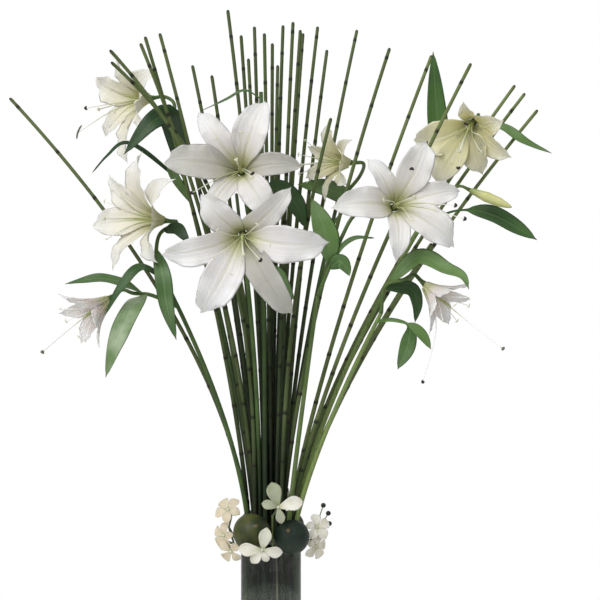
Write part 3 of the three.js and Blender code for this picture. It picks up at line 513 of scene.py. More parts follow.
class Curve:
    """Smooth curve through points: centripetal, and read at a share of its length."""

    STEPS = 200

    def __init__(self, points):
        self.points = [np.asarray(p, float) for p in points]
        self.samples = np.array([self._point(k / self.STEPS) for k in range(self.STEPS + 1)])
        steps = np.linalg.norm(np.diff(self.samples, axis=0), axis=1)
        self.lengths = np.append(0, np.cumsum(steps))

    def _point(self, t):
        p, last = self.points, len(self.points) - 1
        k = min(int(last * t), last - 1)
        w = last * t - k
        a = p[k - 1] if k > 0 else 2 * p[0] - p[1]
        b, c = p[k], p[k + 1]
        d = p[k + 2] if k + 2 <= last else 2 * p[last] - p[last - 1]
        da, db, dc = (max(np.linalg.norm(v) ** 0.5, 1e-4) for v in (b - a, c - b, d - c))
        m = ((b - a) / da - (c - a) / (da + db) + (c - b) / db) * db
        n = ((c - b) / db - (d - b) / (db + dc) + (d - c) / dc) * db
        return b + m * w + (3 * (c - b) - 2 * m - n) * w**2 + (2 * (b - c) + m + n) * w**3

    def at(self, share):
        where = np.asarray(share, float) * self.lengths[-1]
        return np.stack([np.interp(where, self.lengths, self.samples[:, k]) for k in range(3)], -1)

    def along(self, share):
        """Direction of the curve."""
        after, before = (self.at(np.clip(np.asarray(share) + step, 0, 1)) for step in (0.01, -0.01))
        return (after - before) / np.linalg.norm(after - before, axis=-1, keepdims=True)


def tube_rings(points, radii, sides, ridge=0.0):
    """Rings of a round stem through points, turned as little as possible from one to the next."""
    tangents = np.gradient(points, axis=0)
    tangents /= np.linalg.norm(tangents, axis=1, keepdims=True)
    side = np.array([1.0, 0, 0]) if abs(tangents[0][0]) < 0.9 else np.array([0, 1.0, 0])
    swell = 1 + ridge * np.where(np.arange(sides) % 2 == 0, 1, -1)
    rings = []
    for p, tangent, radius in zip(points, tangents, radii):
        side = unit(side - tangent * side.dot(tangent))
        rings.append(p + radius * spread(swell, turns(sides), side, np.cross(tangent, side)))
    return np.array(rings)


def with_next(ring):
    """Each point's number in a ring beside that of the point after it."""
    return zip(ring.tolist(), np.roll(ring, -1).tolist())


def quads(rings):
    """Faces between rings of point numbers."""
    after = np.roll(rings, -1, axis=1)
    return np.stack([rings[:-1], after[:-1], after[1:], rings[1:]], -1).reshape(-1, 4).tolist()


def add_object(name, data):
    made = bpy.data.objects.new(name, data)
    bpy.context.scene.collection.objects.link(made)
    return made


class Shape:
    """Closed lofts gathered into one piece, with values at each point for its materials."""

    def __init__(self, marks=("along", "across", "tone", "blush")):
        self.points, self.faces, self.looks = [], [], []
        self.values = {m: [] for m in marks}
        self.count = 0

    def add(self, rings, look=0, loop=False, **values):
        """rings is rows by points round by 3; the ends are closed with fans unless it is a loop."""
        rows, around = rings.shape[:2]
        ends = [] if loop else [rings[0].mean(0), rings[-1].mean(0)]
        self.points.append(np.array([*rings.reshape(-1, 3), *ends]))
        for m, gathered in self.values.items():
            grid = np.broadcast_to(values.get(m, 0.0), (rows, around))
            tail = [] if loop else [grid[0].mean(), grid[-1].mean()]
            gathered.append(np.append(grid, tail))
        numbers = self.count + np.arange(rows * around).reshape(rows, around)
        self.faces += quads(np.concatenate([numbers, numbers[:1]]) if loop else numbers)
        if not loop:
            low, high = self.count + rows * around, self.count + rows * around + 1
            self.faces += [[low, after, here] for here, after in with_next(numbers[0])]
            self.faces += [[high, here, after] for here, after in with_next(numbers[-1])]
        self.looks += [look] * (len(self.faces) - len(self.looks))
        self.count += rows * around + len(ends)

    def add_tube(self, points, radii, sides, **values):
        self.add(tube_rings(points, radii, sides), **values)

    def add_blade(self, middle, wide, across, lift, up, thickness, v, **values):
        """A blade, wide and lifted from its middle; v is -1 at one edge and 1 at the other."""
        sheet = middle + wide[..., None] * across + lift[..., None] * up
        normal = np.cross(np.gradient(sheet, axis=1), np.gradient(sheet, axis=0))
        normal /= np.maximum(np.linalg.norm(normal, axis=2, keepdims=True), 1e-9)
        half = normal * thickness[..., None] / 2
        rings = np.concatenate([sheet - half, (sheet + half)[:, -2:0:-1]], axis=1)
        self.add(rings, across=np.concatenate([v, v[-2:0:-1]]), **values)

    def make(self, node, slot, looks=()):
        """The finished piece: smooth, riding on the vase, in place of its CAD node."""
        mesh = bpy.data.meshes.new("fine_" + node)
        points = np.concatenate(self.points) * METRES
        mesh.from_pydata(points.tolist(), [], self.faces)
        for m, gathered in self.values.items():
            layer = mesh.attributes.new(m, "FLOAT", "POINT")
            layer.data.foreach_set("value", np.concatenate(gathered).astype(np.float32))
        for look in looks or [slot]:
            mesh.materials.append(MATERIAL[look])
        mesh.polygons.foreach_set("material_index", self.looks)
        mesh.polygons.foreach_set("use_smooth", [True] * len(self.faces))
        mesh.update()
        piece = add_object("fine_" + node, mesh)
        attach(piece, "root")
        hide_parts(node)


def make_loft(node, slot, rings, **values):
    """A piece that is one loft."""
    shape = Shape()
    shape.add(rings, **values)
    shape.make(node, slot)


class Nodes:
    """The nodes of one material, n below; numbers, colours or sockets go into them."""

    def __init__(self, tree):
        self.tree = tree
        tree.nodes.clear()

    def add(self, kind, inputs, **settings):
        made = self.tree.nodes.new("ShaderNode" + kind)
        for key, value in settings.items():
            setattr(made, key, value)
        for key, value in inputs.items():
            if isinstance(value, bpy.types.NodeSocket):
                self.tree.links.new(value, made.inputs[key])
            else:
                made.inputs[key].default_value = value
        return made

    def mark(self, name):
        return self.add("Attribute", {}, attribute_name=name).outputs["Fac"]

    def position(self):
        return self.add("TexCoord", {}).outputs["Object"]

    def maths(self, operation, a, b=0.0):
        return self.add("Math", {0: a, 1: b}, operation=operation).outputs[0]

    def times(self, a, b):
        return self.maths("MULTIPLY", a, b)

    def fade(self, value, low, high, to_low=0.0, to_high=1.0):
        """Smooth step from to_low where the value is low to to_high where it is high."""
        inputs = {"Value": value, "From Min": low, "From Max": high, "To Min": to_low, "To Max": to_high}
        return self.add("MapRange", inputs, interpolation_type="SMOOTHSTEP").outputs[0]

    def noise(self, scale, detail, where=None):
        where = self.position() if where is None else where
        return self.add("TexNoise", {"Scale": scale, "Detail": detail, "Vector": where}).outputs["Fac"]

    def cells(self, scale):
        """Distance from the middles of small cells."""
        return self.add("TexVoronoi", {"Scale": scale, "Vector": self.position()}).outputs["Distance"]

    def lines(self, count):
        """Height of wandering lines that run along a blade, count of them across it."""
        across = self.times(self.mark("across"), count)
        where = self.add("CombineXYZ", {"X": across, "Y": self.mark("along")}).outputs[0]
        return self.maths("ADD", self.noise(1, 2, where), self.times(self.noise(60, 2), 0.06))

    def streaks(self, across, along):
        """Fine grain along an upright stem."""
        inputs = {"Vector": self.position(), "Scale": (across, across, along)}
        return self.noise(1, 3, self.add("Mapping", inputs).outputs[0])

    def blend(self, share, a, b):
        """Colour a where share is 0 and b where it is 1."""
        a, b = (c if isinstance(c, bpy.types.NodeSocket) else (*c, 1.0) for c in (a, b))
        return self.add("Mix", {0: share, 6: a, 7: b}, data_type="RGBA").outputs[2]

    def layers(self, colour, *over):
        """Colours laid over each other, each with its share first."""
        for share, above in over:
            colour = self.blend(share, colour, above)
        return colour

    def bump(self, height, distance, strength, normal=None):
        inputs = {"Height": height, "Distance": distance * METRES, "Strength": strength}
        if normal is not None:
            inputs["Normal"] = normal
        return self.add("Bump", inputs).outputs["Normal"]


def material(name, build=None, kind="BsdfPrincipled", **fixed):
    """A material whose shader takes fixed values, and the sockets that its nodes give."""
    made = bpy.data.materials.new(name)
    made.use_nodes = True
    nodes = Nodes(made.node_tree)
    inputs = {key.replace("_", " "): value for key, value in fixed.items()}
    if build:
        inputs.update(zip(("Base Color", "Normal", "Roughness"), build(nodes)))
    shader = nodes.add(kind, inputs)
    nodes.add("OutputMaterial", {"Surface": shader.outputs[0]})
    return made


def tepal_nodes(n):
    along, middle = n.mark("along"), n.maths("ABSOLUTE", n.mark("across"))
    cloud, veins = n.noise(22, 3), n.fade(n.lines(16), 0.42, 0.62)
    pink = n.times(n.fade(along, 0.4, 0.86, 1, 0), n.mark("blush"))
    cream = n.times(n.fade(along, 0.35, 1, 1, 0.45), n.mark("tone"))
    rib = n.times(n.fade(middle, 0, 0.15, 1, 0), n.fade(along, 0.35, 0.9, 0.5, 0))
    throat = n.fade(along, 0.1, 0.42, 0.9, 0)
    tip = n.fade(along, 0.94, 1, 0, 0.3)
    # Painted shade: each tepal's share greys it towards (0.3, 0.3, 0.26), patchy with the cloud
    painted_shade_share = n.times(n.mark("painted_shade"), n.fade(cloud, 0.2, 0.8, 0.75, 1))
    colour = n.layers(
        n.blend(n.fade(cloud, 0.35, 0.7), (0.94, 0.93, 0.905), (0.88, 0.87, 0.845)),
        (n.times(veins, 0.3), (0.74, 0.72, 0.7)),
        (pink, (0.7, 0.58, 0.56)),
        (cream, (0.8, 0.74, 0.4)),
        (rib, (0.58, 0.58, 0.4)),
        (throat, (0.52, 0.53, 0.26)),
        (tip, (0.62, 0.66, 0.42)),
        (painted_shade_share, (0.3, 0.3, 0.26)),
    )
    papillae = n.times(n.fade(n.cells(420), 0.1, 0.5, 1, 0), n.fade(along, 0.3, 0.6, 1, 0))
    return colour, n.bump(papillae, 0.5, 0.5, n.bump(veins, 0.35, 0.55))


def leaf_nodes(n):
    middle, tone = n.maths("ABSOLUTE", n.mark("across")), n.mark("tone")
    cloud, veins = n.noise(14, 4), n.fade(n.lines(11), 0.4, 0.62)
    rib = n.fade(middle, 0.02, 0.14, 0.6, 0)
    dark = n.fade(tone, -1, 0, 1, 0)
    # Painted sheen: whitish patches standing for highlights on the leaf
    painted_sheen = n.times(n.mark("blush"), n.fade(n.noise(26, 2), 0.35, 0.65, 0.2, 1))
    tip = n.fade(n.mark("along"), 0.94, 1, 0, 0.6)
    colour = n.layers(
        n.blend(n.fade(cloud, 0.3, 0.72), (0.02, 0.07, 0.012), (0.07, 0.168, 0.028)),
        (n.times(veins, 0.35), (0.1, 0.21, 0.06)),
        (rib, (0.13, 0.24, 0.075)),
        (tone, (0.14, 0.25, 0.06)),
        (dark, (0.008, 0.028, 0.011)),
        (painted_sheen, (0.5, 0.58, 0.42)),
        (tip, (0.12, 0.1, 0.04)),
    )
    return colour, n.bump(veins, 0.35, 0.6), n.fade(cloud, 0.2, 0.8, 0.34, 0.52)


def stem_nodes(n):
    rise, tone = n.mark("along"), n.mark("tone")
    cloud, grain = n.noise(30, 4), n.streaks(420, 14)
    # Painted shade: stems darker low down in the bundle and vase, except the pale and the outer ones
    takes_painted_shade = n.times(n.fade(tone, 0, 0.3, 1, 0), n.fade(n.mark("across"), 0, 1, 1, 0))
    low = n.times(n.fade(rise, 0.12, 0.6, 0.92, 0), takes_painted_shade)
    colour = n.layers(
        n.blend(n.fade(cloud, 0.3, 0.7), (0.03, 0.062, 0.016), (0.07, 0.125, 0.032)),
        # tone: painted yellow-green light on the stems at the right, and a lighter green on stalks and collar
        # strands
        (tone, (0.3, 0.39, 0.12)),
        (n.fade(grain, 0.45, 0.7, 0, 0.4), (0.022, 0.04, 0.014)),
        (n.fade(rise, 0, 1, 0, 0.3), (0.1, 0.18, 0.045)),
        (low, (0.008, 0.016, 0.006)),
    )
    return colour, n.bump(grain, 0.3, 0.5), n.fade(cloud, 0.2, 0.8, 0.4, 0.62)


def horsetail_nodes(n):
    height, tone = n.mark("along"), n.mark("tone")
    cloud, grain = n.noise(16, 4), n.streaks(600, 10)
    patch = n.fade(cloud, 0.3, 0.7)
    dark = n.blend(patch, (0.008, 0.017, 0.007), (0.022, 0.038, 0.014))
    pale = n.blend(patch, (0.13, 0.18, 0.05), (0.26, 0.32, 0.12))
    # Painted shade: the stems go near black low down, in the bundle and in the vase, least on the pale ones
    low = n.times(n.fade(height, 0.4, 0.55, 0.85, 0), n.fade(tone, 0.1, 0.6, 1, 0.4))
    colour = n.layers(
        # tone carries the painted light and shade of each column, between dark and pale
        n.blend(tone, dark, pale),
        (n.fade(grain, 0.5, 0.72, 0, 0.4), (0.085, 0.115, 0.05)),
        (n.fade(height, 0.55, 1.05, 0, 0.36), (0.17, 0.23, 0.07)),
        (low, (0.005, 0.009, 0.004)),
        (n.mark("blush"), (0.42, 0.33, 0.27)),
        (n.mark("across"), (0.016, 0.014, 0.01)),
    )
    return colour, n.bump(grain, 0.35, 0.7), n.fade(cloud, 0.2, 0.8, 0.5, 0.72)


def stamen_nodes(n):
    grain = n.noise(300, 2)
    colour = n.layers(
        n.blend(n.fade(grain, 0.3, 0.7), (0.4, 0.44, 0.18), (0.52, 0.55, 0.28)),
        (n.mark("along"), (0.84, 0.83, 0.74)),
        (n.mark("tone"), (0.95, 0.95, 0.93)),
    )
    return colour, n.bump(grain, 0.2, 0.3)


def anther_nodes(n):
    grain = n.noise(900, 3)
    patch = n.fade(grain, 0.35, 0.65)
    dark = n.blend(patch, (0.01, 0.008, 0.008), (0.05, 0.034, 0.026))
    pale = n.blend(patch, (0.68, 0.68, 0.48), (0.8, 0.79, 0.64))
    return n.blend(n.mark("tone"), pale, dark), n.bump(grain, 0.4, 0.8)


def bud_nodes(n):
    lines = n.fade(n.lines(9), 0.42, 0.6)
    yellow = n.blend(lines, (0.66, 0.63, 0.3), (0.52, 0.55, 0.21))
    colour = n.blend(n.fade(n.mark("along"), 0, 0.35, 0.8, 0), yellow, (0.16, 0.24, 0.06))
    return colour, n.bump(lines, 0.3, 0.5)


def lime_nodes(n):
    cloud, pores = n.noise(34, 4), n.cells(640)
    patch = n.fade(cloud, 0.35, 0.68)
    deep = n.blend(patch, (0.004, 0.011, 0.008), (0.012, 0.026, 0.016))
    olive = n.blend(patch, (0.018, 0.028, 0.009), (0.07, 0.078, 0.018))
    nipple = n.fade(n.mark("along"), 0, 0.06, 0.9, 0)
    colour = n.layers(
        n.blend(n.mark("tone"), deep, olive),
        (n.fade(pores, 0, 0.3, 0.3, 0), (0.11, 0.13, 0.045)),
        (nipple, (0.13, 0.1, 0.045)),
    )
    pits = n.bump(n.fade(pores, 0, 0.42), 0.5, 0.6)
    return colour, pits, n.fade(cloud, 0.2, 0.8, 0.36, 0.52)


def floret_nodes(n):
    veins = n.fade(n.lines(8), 0.42, 0.6)
    middle = n.fade(n.mark("along"), 0, 0.3, 0.7, 0)
    colour = n.layers(
        n.blend(n.fade(n.noise(60, 3), 0.3, 0.7), (0.84, 0.82, 0.74), (0.74, 0.71, 0.6)),
        (n.times(veins, 0.2), (0.62, 0.6, 0.47)),
        (n.mark("blush"), (0.58, 0.49, 0.33)),
        (middle, (0.46, 0.49, 0.24)),
        # tone: the green of the tube, stalk and crown, and on the petals a painted shade towards grey-green
        (n.mark("tone"), (0.12, 0.17, 0.05)),
    )
    return colour, n.bump(veins, 0.3, 0.5)


PETAL = dict(Roughness=0.5, Subsurface_Weight=0.35, Subsurface_Radius=(1.0, 0.9, 0.6), Subsurface_Scale=0.004)
FINISHES = {
    "tepal": dict(build=tepal_nodes, **PETAL),
    "leaf": dict(build=leaf_nodes, Specular_IOR_Level=0.4),
    "stem": dict(build=stem_nodes, Specular_IOR_Level=0.3),
    "horsetail": dict(build=horsetail_nodes, Specular_IOR_Level=0.25),
    "stamen": dict(build=stamen_nodes, Roughness=0.5),
    "anther": dict(build=anther_nodes, Roughness=0.85),
    "bud": dict(build=bud_nodes, Roughness=0.45),
    "lime": dict(build=lime_nodes, Specular_IOR_Level=0.3),
    "floret": dict(build=floret_nodes, **PETAL),
    "glass": dict(Base_Color=(0.93, 0.975, 0.95, 1), Roughness=0.01, IOR=1.5, Transmission_Weight=1.0),
    "water": dict(Base_Color=(0.75, 0.84, 0.7, 1), Roughness=0.0, IOR=1.333, Transmission_Weight=1.0),
}
MATERIAL = {name: material(name, **finish) for name, finish in FINISHES.items()}


def stem_slots():
    """Where each stem stands inside the vase."""
    slots = []
    for c, (row, stems) in enumerate(COLUMNS):
        x = (c - (len(COLUMNS) - 1) / 2) * COLUMN_PITCH
        slots.extend((stem, x, (row + r) * ROW_PITCH) for r, stem in enumerate(stems))
    slots.extend((stem, x, y) for x, y, stem in BACK_STEMS)
    return slots


def risen(z, top):
    """Share of the way up from where the stems start to fan out."""
    return np.maximum(z - FAN_START, 0) / (top - FAN_START)


def stem_point(x, y, tip, bend, z):
    """Centre of a stem at heights z: straight in the vase, then bending out to its tip."""
    z = np.asarray(z, float)
    out = risen(z, tip[2]) ** bend
    return np.stack([x + (tip[0] - x) * out, y + (tip[1] - y) * out, z], -1)


def horsetail_stops(number, top):
    """Height, radius before thinning, and darkness on ridges and in furrows, up the stem."""
    first = FAN_START + FIRST_JOINT + ((number * JOINT_STAGGER) % JOINT_SPACING) * STAGGER_SHARE
    joints = np.arange(first - SEEN_JOINT_SPACING * 5, top - TIP_CLEAR, SEEN_JOINT_SPACING)
    stops = [(h, HORSETAIL_RADIUS, 0, 0) for h in np.arange(FOOT, top - 4, RING_SPACING)]
    below, above = SHEATH_CLEAR
    for joint in joints[joints > FOOT + FOOT_CLEAR]:
        stops = [stop for stop in stops if not joint - below < stop[0] < joint + above]
        stops += [(joint + up, HORSETAIL_RADIUS + out, *dark) for up, out, *dark in SHEATH]
    stops.sort()
    stops += [(top - down, share * HORSETAIL_RADIUS, dark, dark) for down, share, dark in CUT_TIP]
    return (np.array(values) for values in zip(*stops))


def add_horsetail(shape, slot, partner, number):
    """One ridged stem with dark toothed sheaths at its joints; its foot leans against its partner's."""
    (x, z, depth, *bend), sx, sy = slot
    tip = seen(x, z, depth)
    heights, radii, ridge, furrow = horsetail_stops(number, tip[2])
    points = stem_point(sx, sy, tip, bend[0] if bend else BEND, heights)
    towards = LEAN * unit(np.array([partner[1] - sx, partner[2] - sy]))
    points[:, :2] += np.outer(np.clip((FAN_START - heights) / (FAN_START - FOOT), 0, 1), towards)
    radii = radii * (1 - THINNING * risen(heights, tip[2]))
    side = np.arange(HORSETAIL_SIDES)
    band = np.where(side % 2 == 0, ridge[:, None], furrow[:, None])
    # Painted light on the outer columns and painted shade in the middle and back rows, varied in steps
    tone = PAINTED_COLUMN_LIGHT[round(sx / COLUMN_PITCH) + len(PAINTED_COLUMN_LIGHT) // 2] if sy < BACK_ROW else 0.0
    tone *= 0.6 + 0.8 * ((number * TONE_STAGGER) % TONE_STEPS) / (TONE_STEPS - 1)
    seam = np.isin(side, FRONT_SIDES) * (heights < FAN_START + SEAM_REACH)[:, None]
    seam = seam * (sx == SEAM_STEM[0] and sy < SEAM_STEM[1])
    rings = tube_rings(points, radii, HORSETAIL_SIDES, RIDGE_DEPTH)
    shape.add(rings, across=band, along=heights[:, None] * METRES, tone=tone, blush=SEAM_TONE * seam)


def make_horsetails(slots):
    stems = [(slot, number) for number, slot in enumerate(slots) if not isinstance(slot[0], str)]
    for k in range(0, len(stems), 2):
        (left, first), (right, second) = stems[k : k + 2]
        shape = Shape()
        add_horsetail(shape, left, right, first)
        add_horsetail(shape, right, left, second)
        shape.make(f"horsetails_{k // 2 + 1:02d}", "horsetail")


class Bloom:
    """A bloom's base, axis, right and up, and what stands on them."""

    def __init__(self, spec):
        tilt = math.radians(spec["tilt"])
        self.spec = spec
        self.axis = math.cos(tilt) * facing(spec["turn"]) + math.sin(tilt) * UP
        self.right, self.up = sides_of(self.axis)
        self.base = seen(*spec["throat"]) - THROAT_HEIGHT * self.axis
        self.size = min(1, 0.55 + spec["tepals"][0][1] / 260)

    def outward(self, angle):
        return math.cos(angle) * self.right + math.sin(angle) * self.up

    def place(self, radius, height, angle=0.0):
        return self.base + height * self.axis + radius * self.outward(angle)

    def ends(self, spot, radius, height, angle):
        """Radius, height and angle of a stamen's end: as given, or where it is seen."""
        if spot is None:
            return radius, height, angle
        x, z, distance = spot
        line = unit(seen(x, z, 0) - EYE)
        nearest = EYE + line * line.dot(self.base - EYE)
        back = math.sqrt(max(distance**2 - np.sum((nearest - self.base) ** 2), 0))
        offset = nearest - line * back - self.base
        across, over = offset.dot(self.right), offset.dot(self.up)
        return math.hypot(across, over), offset.dot(self.axis), math.atan2(over, across)


def tepal_line(reach, opening, where):
    """Radius, height and angle of a tepal's middle line at shares of its length."""
    steps = 400
    t = (np.arange(steps) + 0.5) / steps
    angle = np.radians(TEPAL_START_ANGLE + opening * t**OPENING_CURVE)
    out, up = (np.append(0, np.cumsum(part(angle)) / steps) for part in (np.sin, np.cos))
    length = (reach - BASE_RADIUS) / out[-1]
    ticks = shares(steps + 1)
    radius = BASE_RADIUS + np.interp(where, ticks, out) * length
    height = TEPAL_THICKNESS / 2 + np.interp(where, ticks, up) * length
    return radius, height, np.radians(TEPAL_START_ANGLE + opening * where**OPENING_CURVE)


def tepal_half(width, reach, t):
    """Half the width of a tepal's blade, which swells and ends in a point."""
    swell = np.sin(math.pi * np.minimum(t, 0.999) ** 1.12) ** 0.95
    blade = width * min(1, reach / FULL_REACH) ** 0.8 * (0.13 * (1 - t) ** 2 + swell) / 2
    return np.maximum(blade, 2.2) * np.clip((1.004 - t) / 0.13, 0, 1) ** 0.6


def add_tepal(shape, bloom, k):
    """One tepal: a share of the tube that opens into a furrowed, ruffled blade."""
    tepals = bloom.spec["tepals"]
    direction, reach, opening = tepals[k]
    inner = k % 2 == 0
    t = shares(TEPAL_ROWS) ** 0.94
    v = np.linspace(-1, 1, TEPAL_POINTS)
    v = np.sign(v) * np.abs(v) ** 1.15
    edge = np.abs(v)
    radius, height, angle = (values[:, None] for values in tepal_line(reach, opening, t))
    width = (INNER_WIDTH if inner else OUTER_WIDTH) * bloom.spec.get("fullness", 1)
    half = tepal_half(width, reach, t)[:, None] * v
    others = [(other - direction) % 360 for j, (other, _, _) in enumerate(tepals) if j != k]
    share = np.radians(np.where(v > 0, min(others), 360 - max(others)) / 2 + TUBE_OVERLAP) * v
    twist = np.interp(t, *EDGE_TWIST)[:, None]
    t = t[:, None]
    blade = smooth(t, 0.2, 0.5)
    sideways = (1 - blade) * radius * np.sin(share) + blade * half
    outwards = radius * ((1 - blade) * np.cos(share) + blade)
    limb = smooth(t, 0.28, 0.6) * (1 - smooth(t, 0.9, 1.0))
    phase = 1.7 * k + direction * 0.03
    wave = sum(size * np.sin(TAU * count * t + shift * phase + 2.1 * (v > 0)) for count, size, shift in WAVES)
    lift = np.abs(half) * (CUPPING * edge + twist * v) * blade
    lift += RUFFLE * (1 if inner else OUTER_RUFFLE) * reach / FULL_REACH * limb * edge**3 * wave
    lift -= FURROW_DEPTH * np.exp(-((v / FURROW_WIDTH) ** 2)) * (1 - smooth(t, 0.75, 1.0))
    lift += 0.5 * np.cos(v * 9) * limb * (1 - edge)
    lift += (LAYER_STEP if inner else -LAYER_STEP) * (1 - blade)
    outward = bloom.outward(math.radians(direction))
    middle = bloom.base + outwards[..., None] * outward + height[..., None] * bloom.axis
    inside = -np.cos(angle)[..., None] * outward + np.sin(angle)[..., None] * bloom.axis
    thickness = (0.35 + 0.75 * (1 - edge**2.5)) * (1.15 - 0.5 * t)
    cream, pink = bloom.spec["tint"]
    # The last mark is the tepal's painted shade, a grey that stands for shadow
    marks = dict(along=t, tone=cream, blush=pink, painted_shade=bloom.spec.get("painted_shades", [PLAIN_PAINTED_SHADE] * 6)[k])
    shape.add_blade(middle, sideways, np.cross(bloom.axis, outward), lift, inside, thickness, v, **marks)


def add_stamen(shape, bloom, k):
    """A filament and the anther across its end; those that show dark in view are ripe."""
    spot = bloom.spec.get("stamens", {}).get(k)
    start = math.radians(bloom.spec["tepals"][k][0] + STAMEN_TURN)
    out, height, angle = bloom.ends(spot, STAMEN_SPREAD * bloom.size, STAMEN_HEIGHT * bloom.size, start)
    root = bloom.place(1, TEPAL_THICKNESS + GAP + FILAMENT_START, angle)
    middle = bloom.place(0.35 * out, 0.59 * height, angle)
    tip = bloom.place(out, height, angle)
    share = shares(16)
    radii = FILAMENT_RADIUS - FILAMENT_THINNING * share
    marks = dict(along=smooth(share, 0.3, 1)[:, None], tone=0.9 * float("style" in bloom.spec))
    shape.add_tube(Curve([root, middle, tip]).at(share), radii, 8, **marks)
    along = unit(tip - middle)
    if bloom.spec.get("long_anther") == k:
        kind = "long"
        bar = LONG_ANTHER_LEAN
        along = unit(along - bar * bar.dot(along))
    else:
        kind = "ripe" if spot else "young"
        bar = unit(np.cross(bloom.axis, along)) + 0.4 * math.sin(5 * k) * bloom.axis
        bar = unit(bar - along * bar.dot(along))
    length, thick, dark = ANTHERS[kind]
    s = np.linspace(-1, 1, 15)
    spine = tip + np.outer(s * length, bar) + np.outer(1.6 - 2.2 * s**2, along)
    turn = turns(12)
    section = spread(1 - 0.22 * np.cos(turn) ** 12, turn, along, 0.85 * np.cross(along, bar))
    thick = thick * np.sqrt(np.maximum(1 - s**4, 0.02))
    rings = spine[:, None] + thick[:, None, None] * section
    shape.add(rings[:, ::-1], look=1, tone=dark)


def add_style(shape, bloom):
    """Ovary, style and a three-lobed stigma."""
    spot = bloom.spec.get("style")
    out, height, angle = bloom.ends(spot, STYLE_SPREAD, STYLE_HEIGHT * bloom.size, -1)
    foot = TEPAL_THICKNESS + GAP
    points = [bloom.place(0, foot), bloom.place(0, foot + OVARY_HEIGHT)]
    points += [bloom.place(0.4 * out, 0.64 * height, angle), bloom.place(out, height, angle)]
    curve = Curve(points)
    share = shares(24)
    thin = 0.75 if spot else 1.2
    radii = np.interp(share, [0, 0.24, 0.34, 0.95, 1], [3.2, 3.1, thin, thin, 1.8])
    pale = 0.9 * float(spot is not None) * smooth(share, 0.3, 0.6)[:, None]
    shape.add_tube(curve.at(share), radii, 10, along=smooth(share, 0.35, 0.9)[:, None], tone=pale)
    along = curve.along(1.0)
    side = unit(np.cross(along, UP))
    turn = turns(18)
    lobes = spread(STIGMA_RADIUS * (1 + 0.22 * np.cos(3 * turn)), turn, side, np.cross(along, side))
    s = np.linspace(-1, 1, 11)[:, None, None]
    rings = curve.at(1.0) + STIGMA_HALF_HEIGHT * s * along + np.sqrt(np.maximum(1 - s * s, 0.01)) * lobes
    shape.add(rings, look=1, tone=0.8 if spot else 0.1)


def make_blooms(blooms):
    for name, bloom in blooms.items():
        petals = Shape(("along", "across", "tone", "blush", "painted_shade"))
        stamens = Shape()
        for k in range(6):
            add_tepal(petals, bloom, k)
            add_stamen(stamens, bloom, k)
        add_style(stamens, bloom)
        petals.make(f"lily_bloom_{name}", "tepal")
        stamens.make(f"lily_stamens_{name}", "stamen", ["stamen", "anther"])


def add_leaf(shape, root, via, width, face, seed, slim=0.0, painted_sheen_or_dark=0.12):
    """A lance-shaped blade with parallel veins, a channel and a waved edge."""
    curve = Curve([root, *(seen(*p) for p in via)])
    face = unit(np.array(face, float))
    t = shares(LEAF_ROWS)
    v = np.linspace(-1, 1, LEAF_POINTS)
    tangent = curve.along(t)
    across = np.cross(face, tangent)
    across /= np.linalg.norm(across, axis=1, keepdims=True)
    normal = np.cross(tangent, across)
    normal *= np.where(normal @ face > 0, 1, -1)[:, None]
    past = np.clip((t - slim) / (1 - slim), 0, 0.999)
    half = np.maximum(1.4 + 1.2 * (1 - t), width * np.sin(math.pi * past**0.85) ** 0.8 / 2)
    half = (half * np.sqrt(np.clip((1.003 - t) / 0.06, 0, 1)))[:, None]
    middle = curve.at(t)[:, None]
    t = t[:, None]
    wave = LEAF_WAVE * np.sin(TAU * LEAF_WAVES * t + seed + 1.9 * (v > 0)) * v**2
    lift = half * (LEAF_FOLD * np.abs(v) ** 1.3 + wave * smooth(t, 0, 0.25))
    # A positive value gives a painted whitish sheen through blush; below 0 the leaf is darker in place of its
    # random tone
    tone = 0.25 + 0.25 * math.sin(3.1 * seed) if painted_sheen_or_dark >= 0 else painted_sheen_or_dark
    marks = dict(along=t, tone=tone, blush=max(painted_sheen_or_dark, 0))
    thickness = 0.3 + 0.55 * (1 - v**2)
    shape.add_blade(middle, half * v, across[:, None], lift, normal[:, None], thickness, v, look=1, **marks)


def add_stalk(shape, bloom, start, via):
    """A flower stalk that widens into the base of its bloom; its curve is returned."""
    back = [bloom.place(0, -distance) for distance in STALK_BACK]
    curve = Curve([start, *(seen(*p) for p in via), *back])
    share = shares(26)
    points = [*curve.at(share), *(bloom.place(0, -distance) for distance, _ in STALK_CUP)]
    radii = np.interp(share, *STALK_RADII)
    shape.add_tube(points, [*radii, *(radius for _, radius in STALK_CUP)], 12, along=0.6, tone=0.12)
    return curve


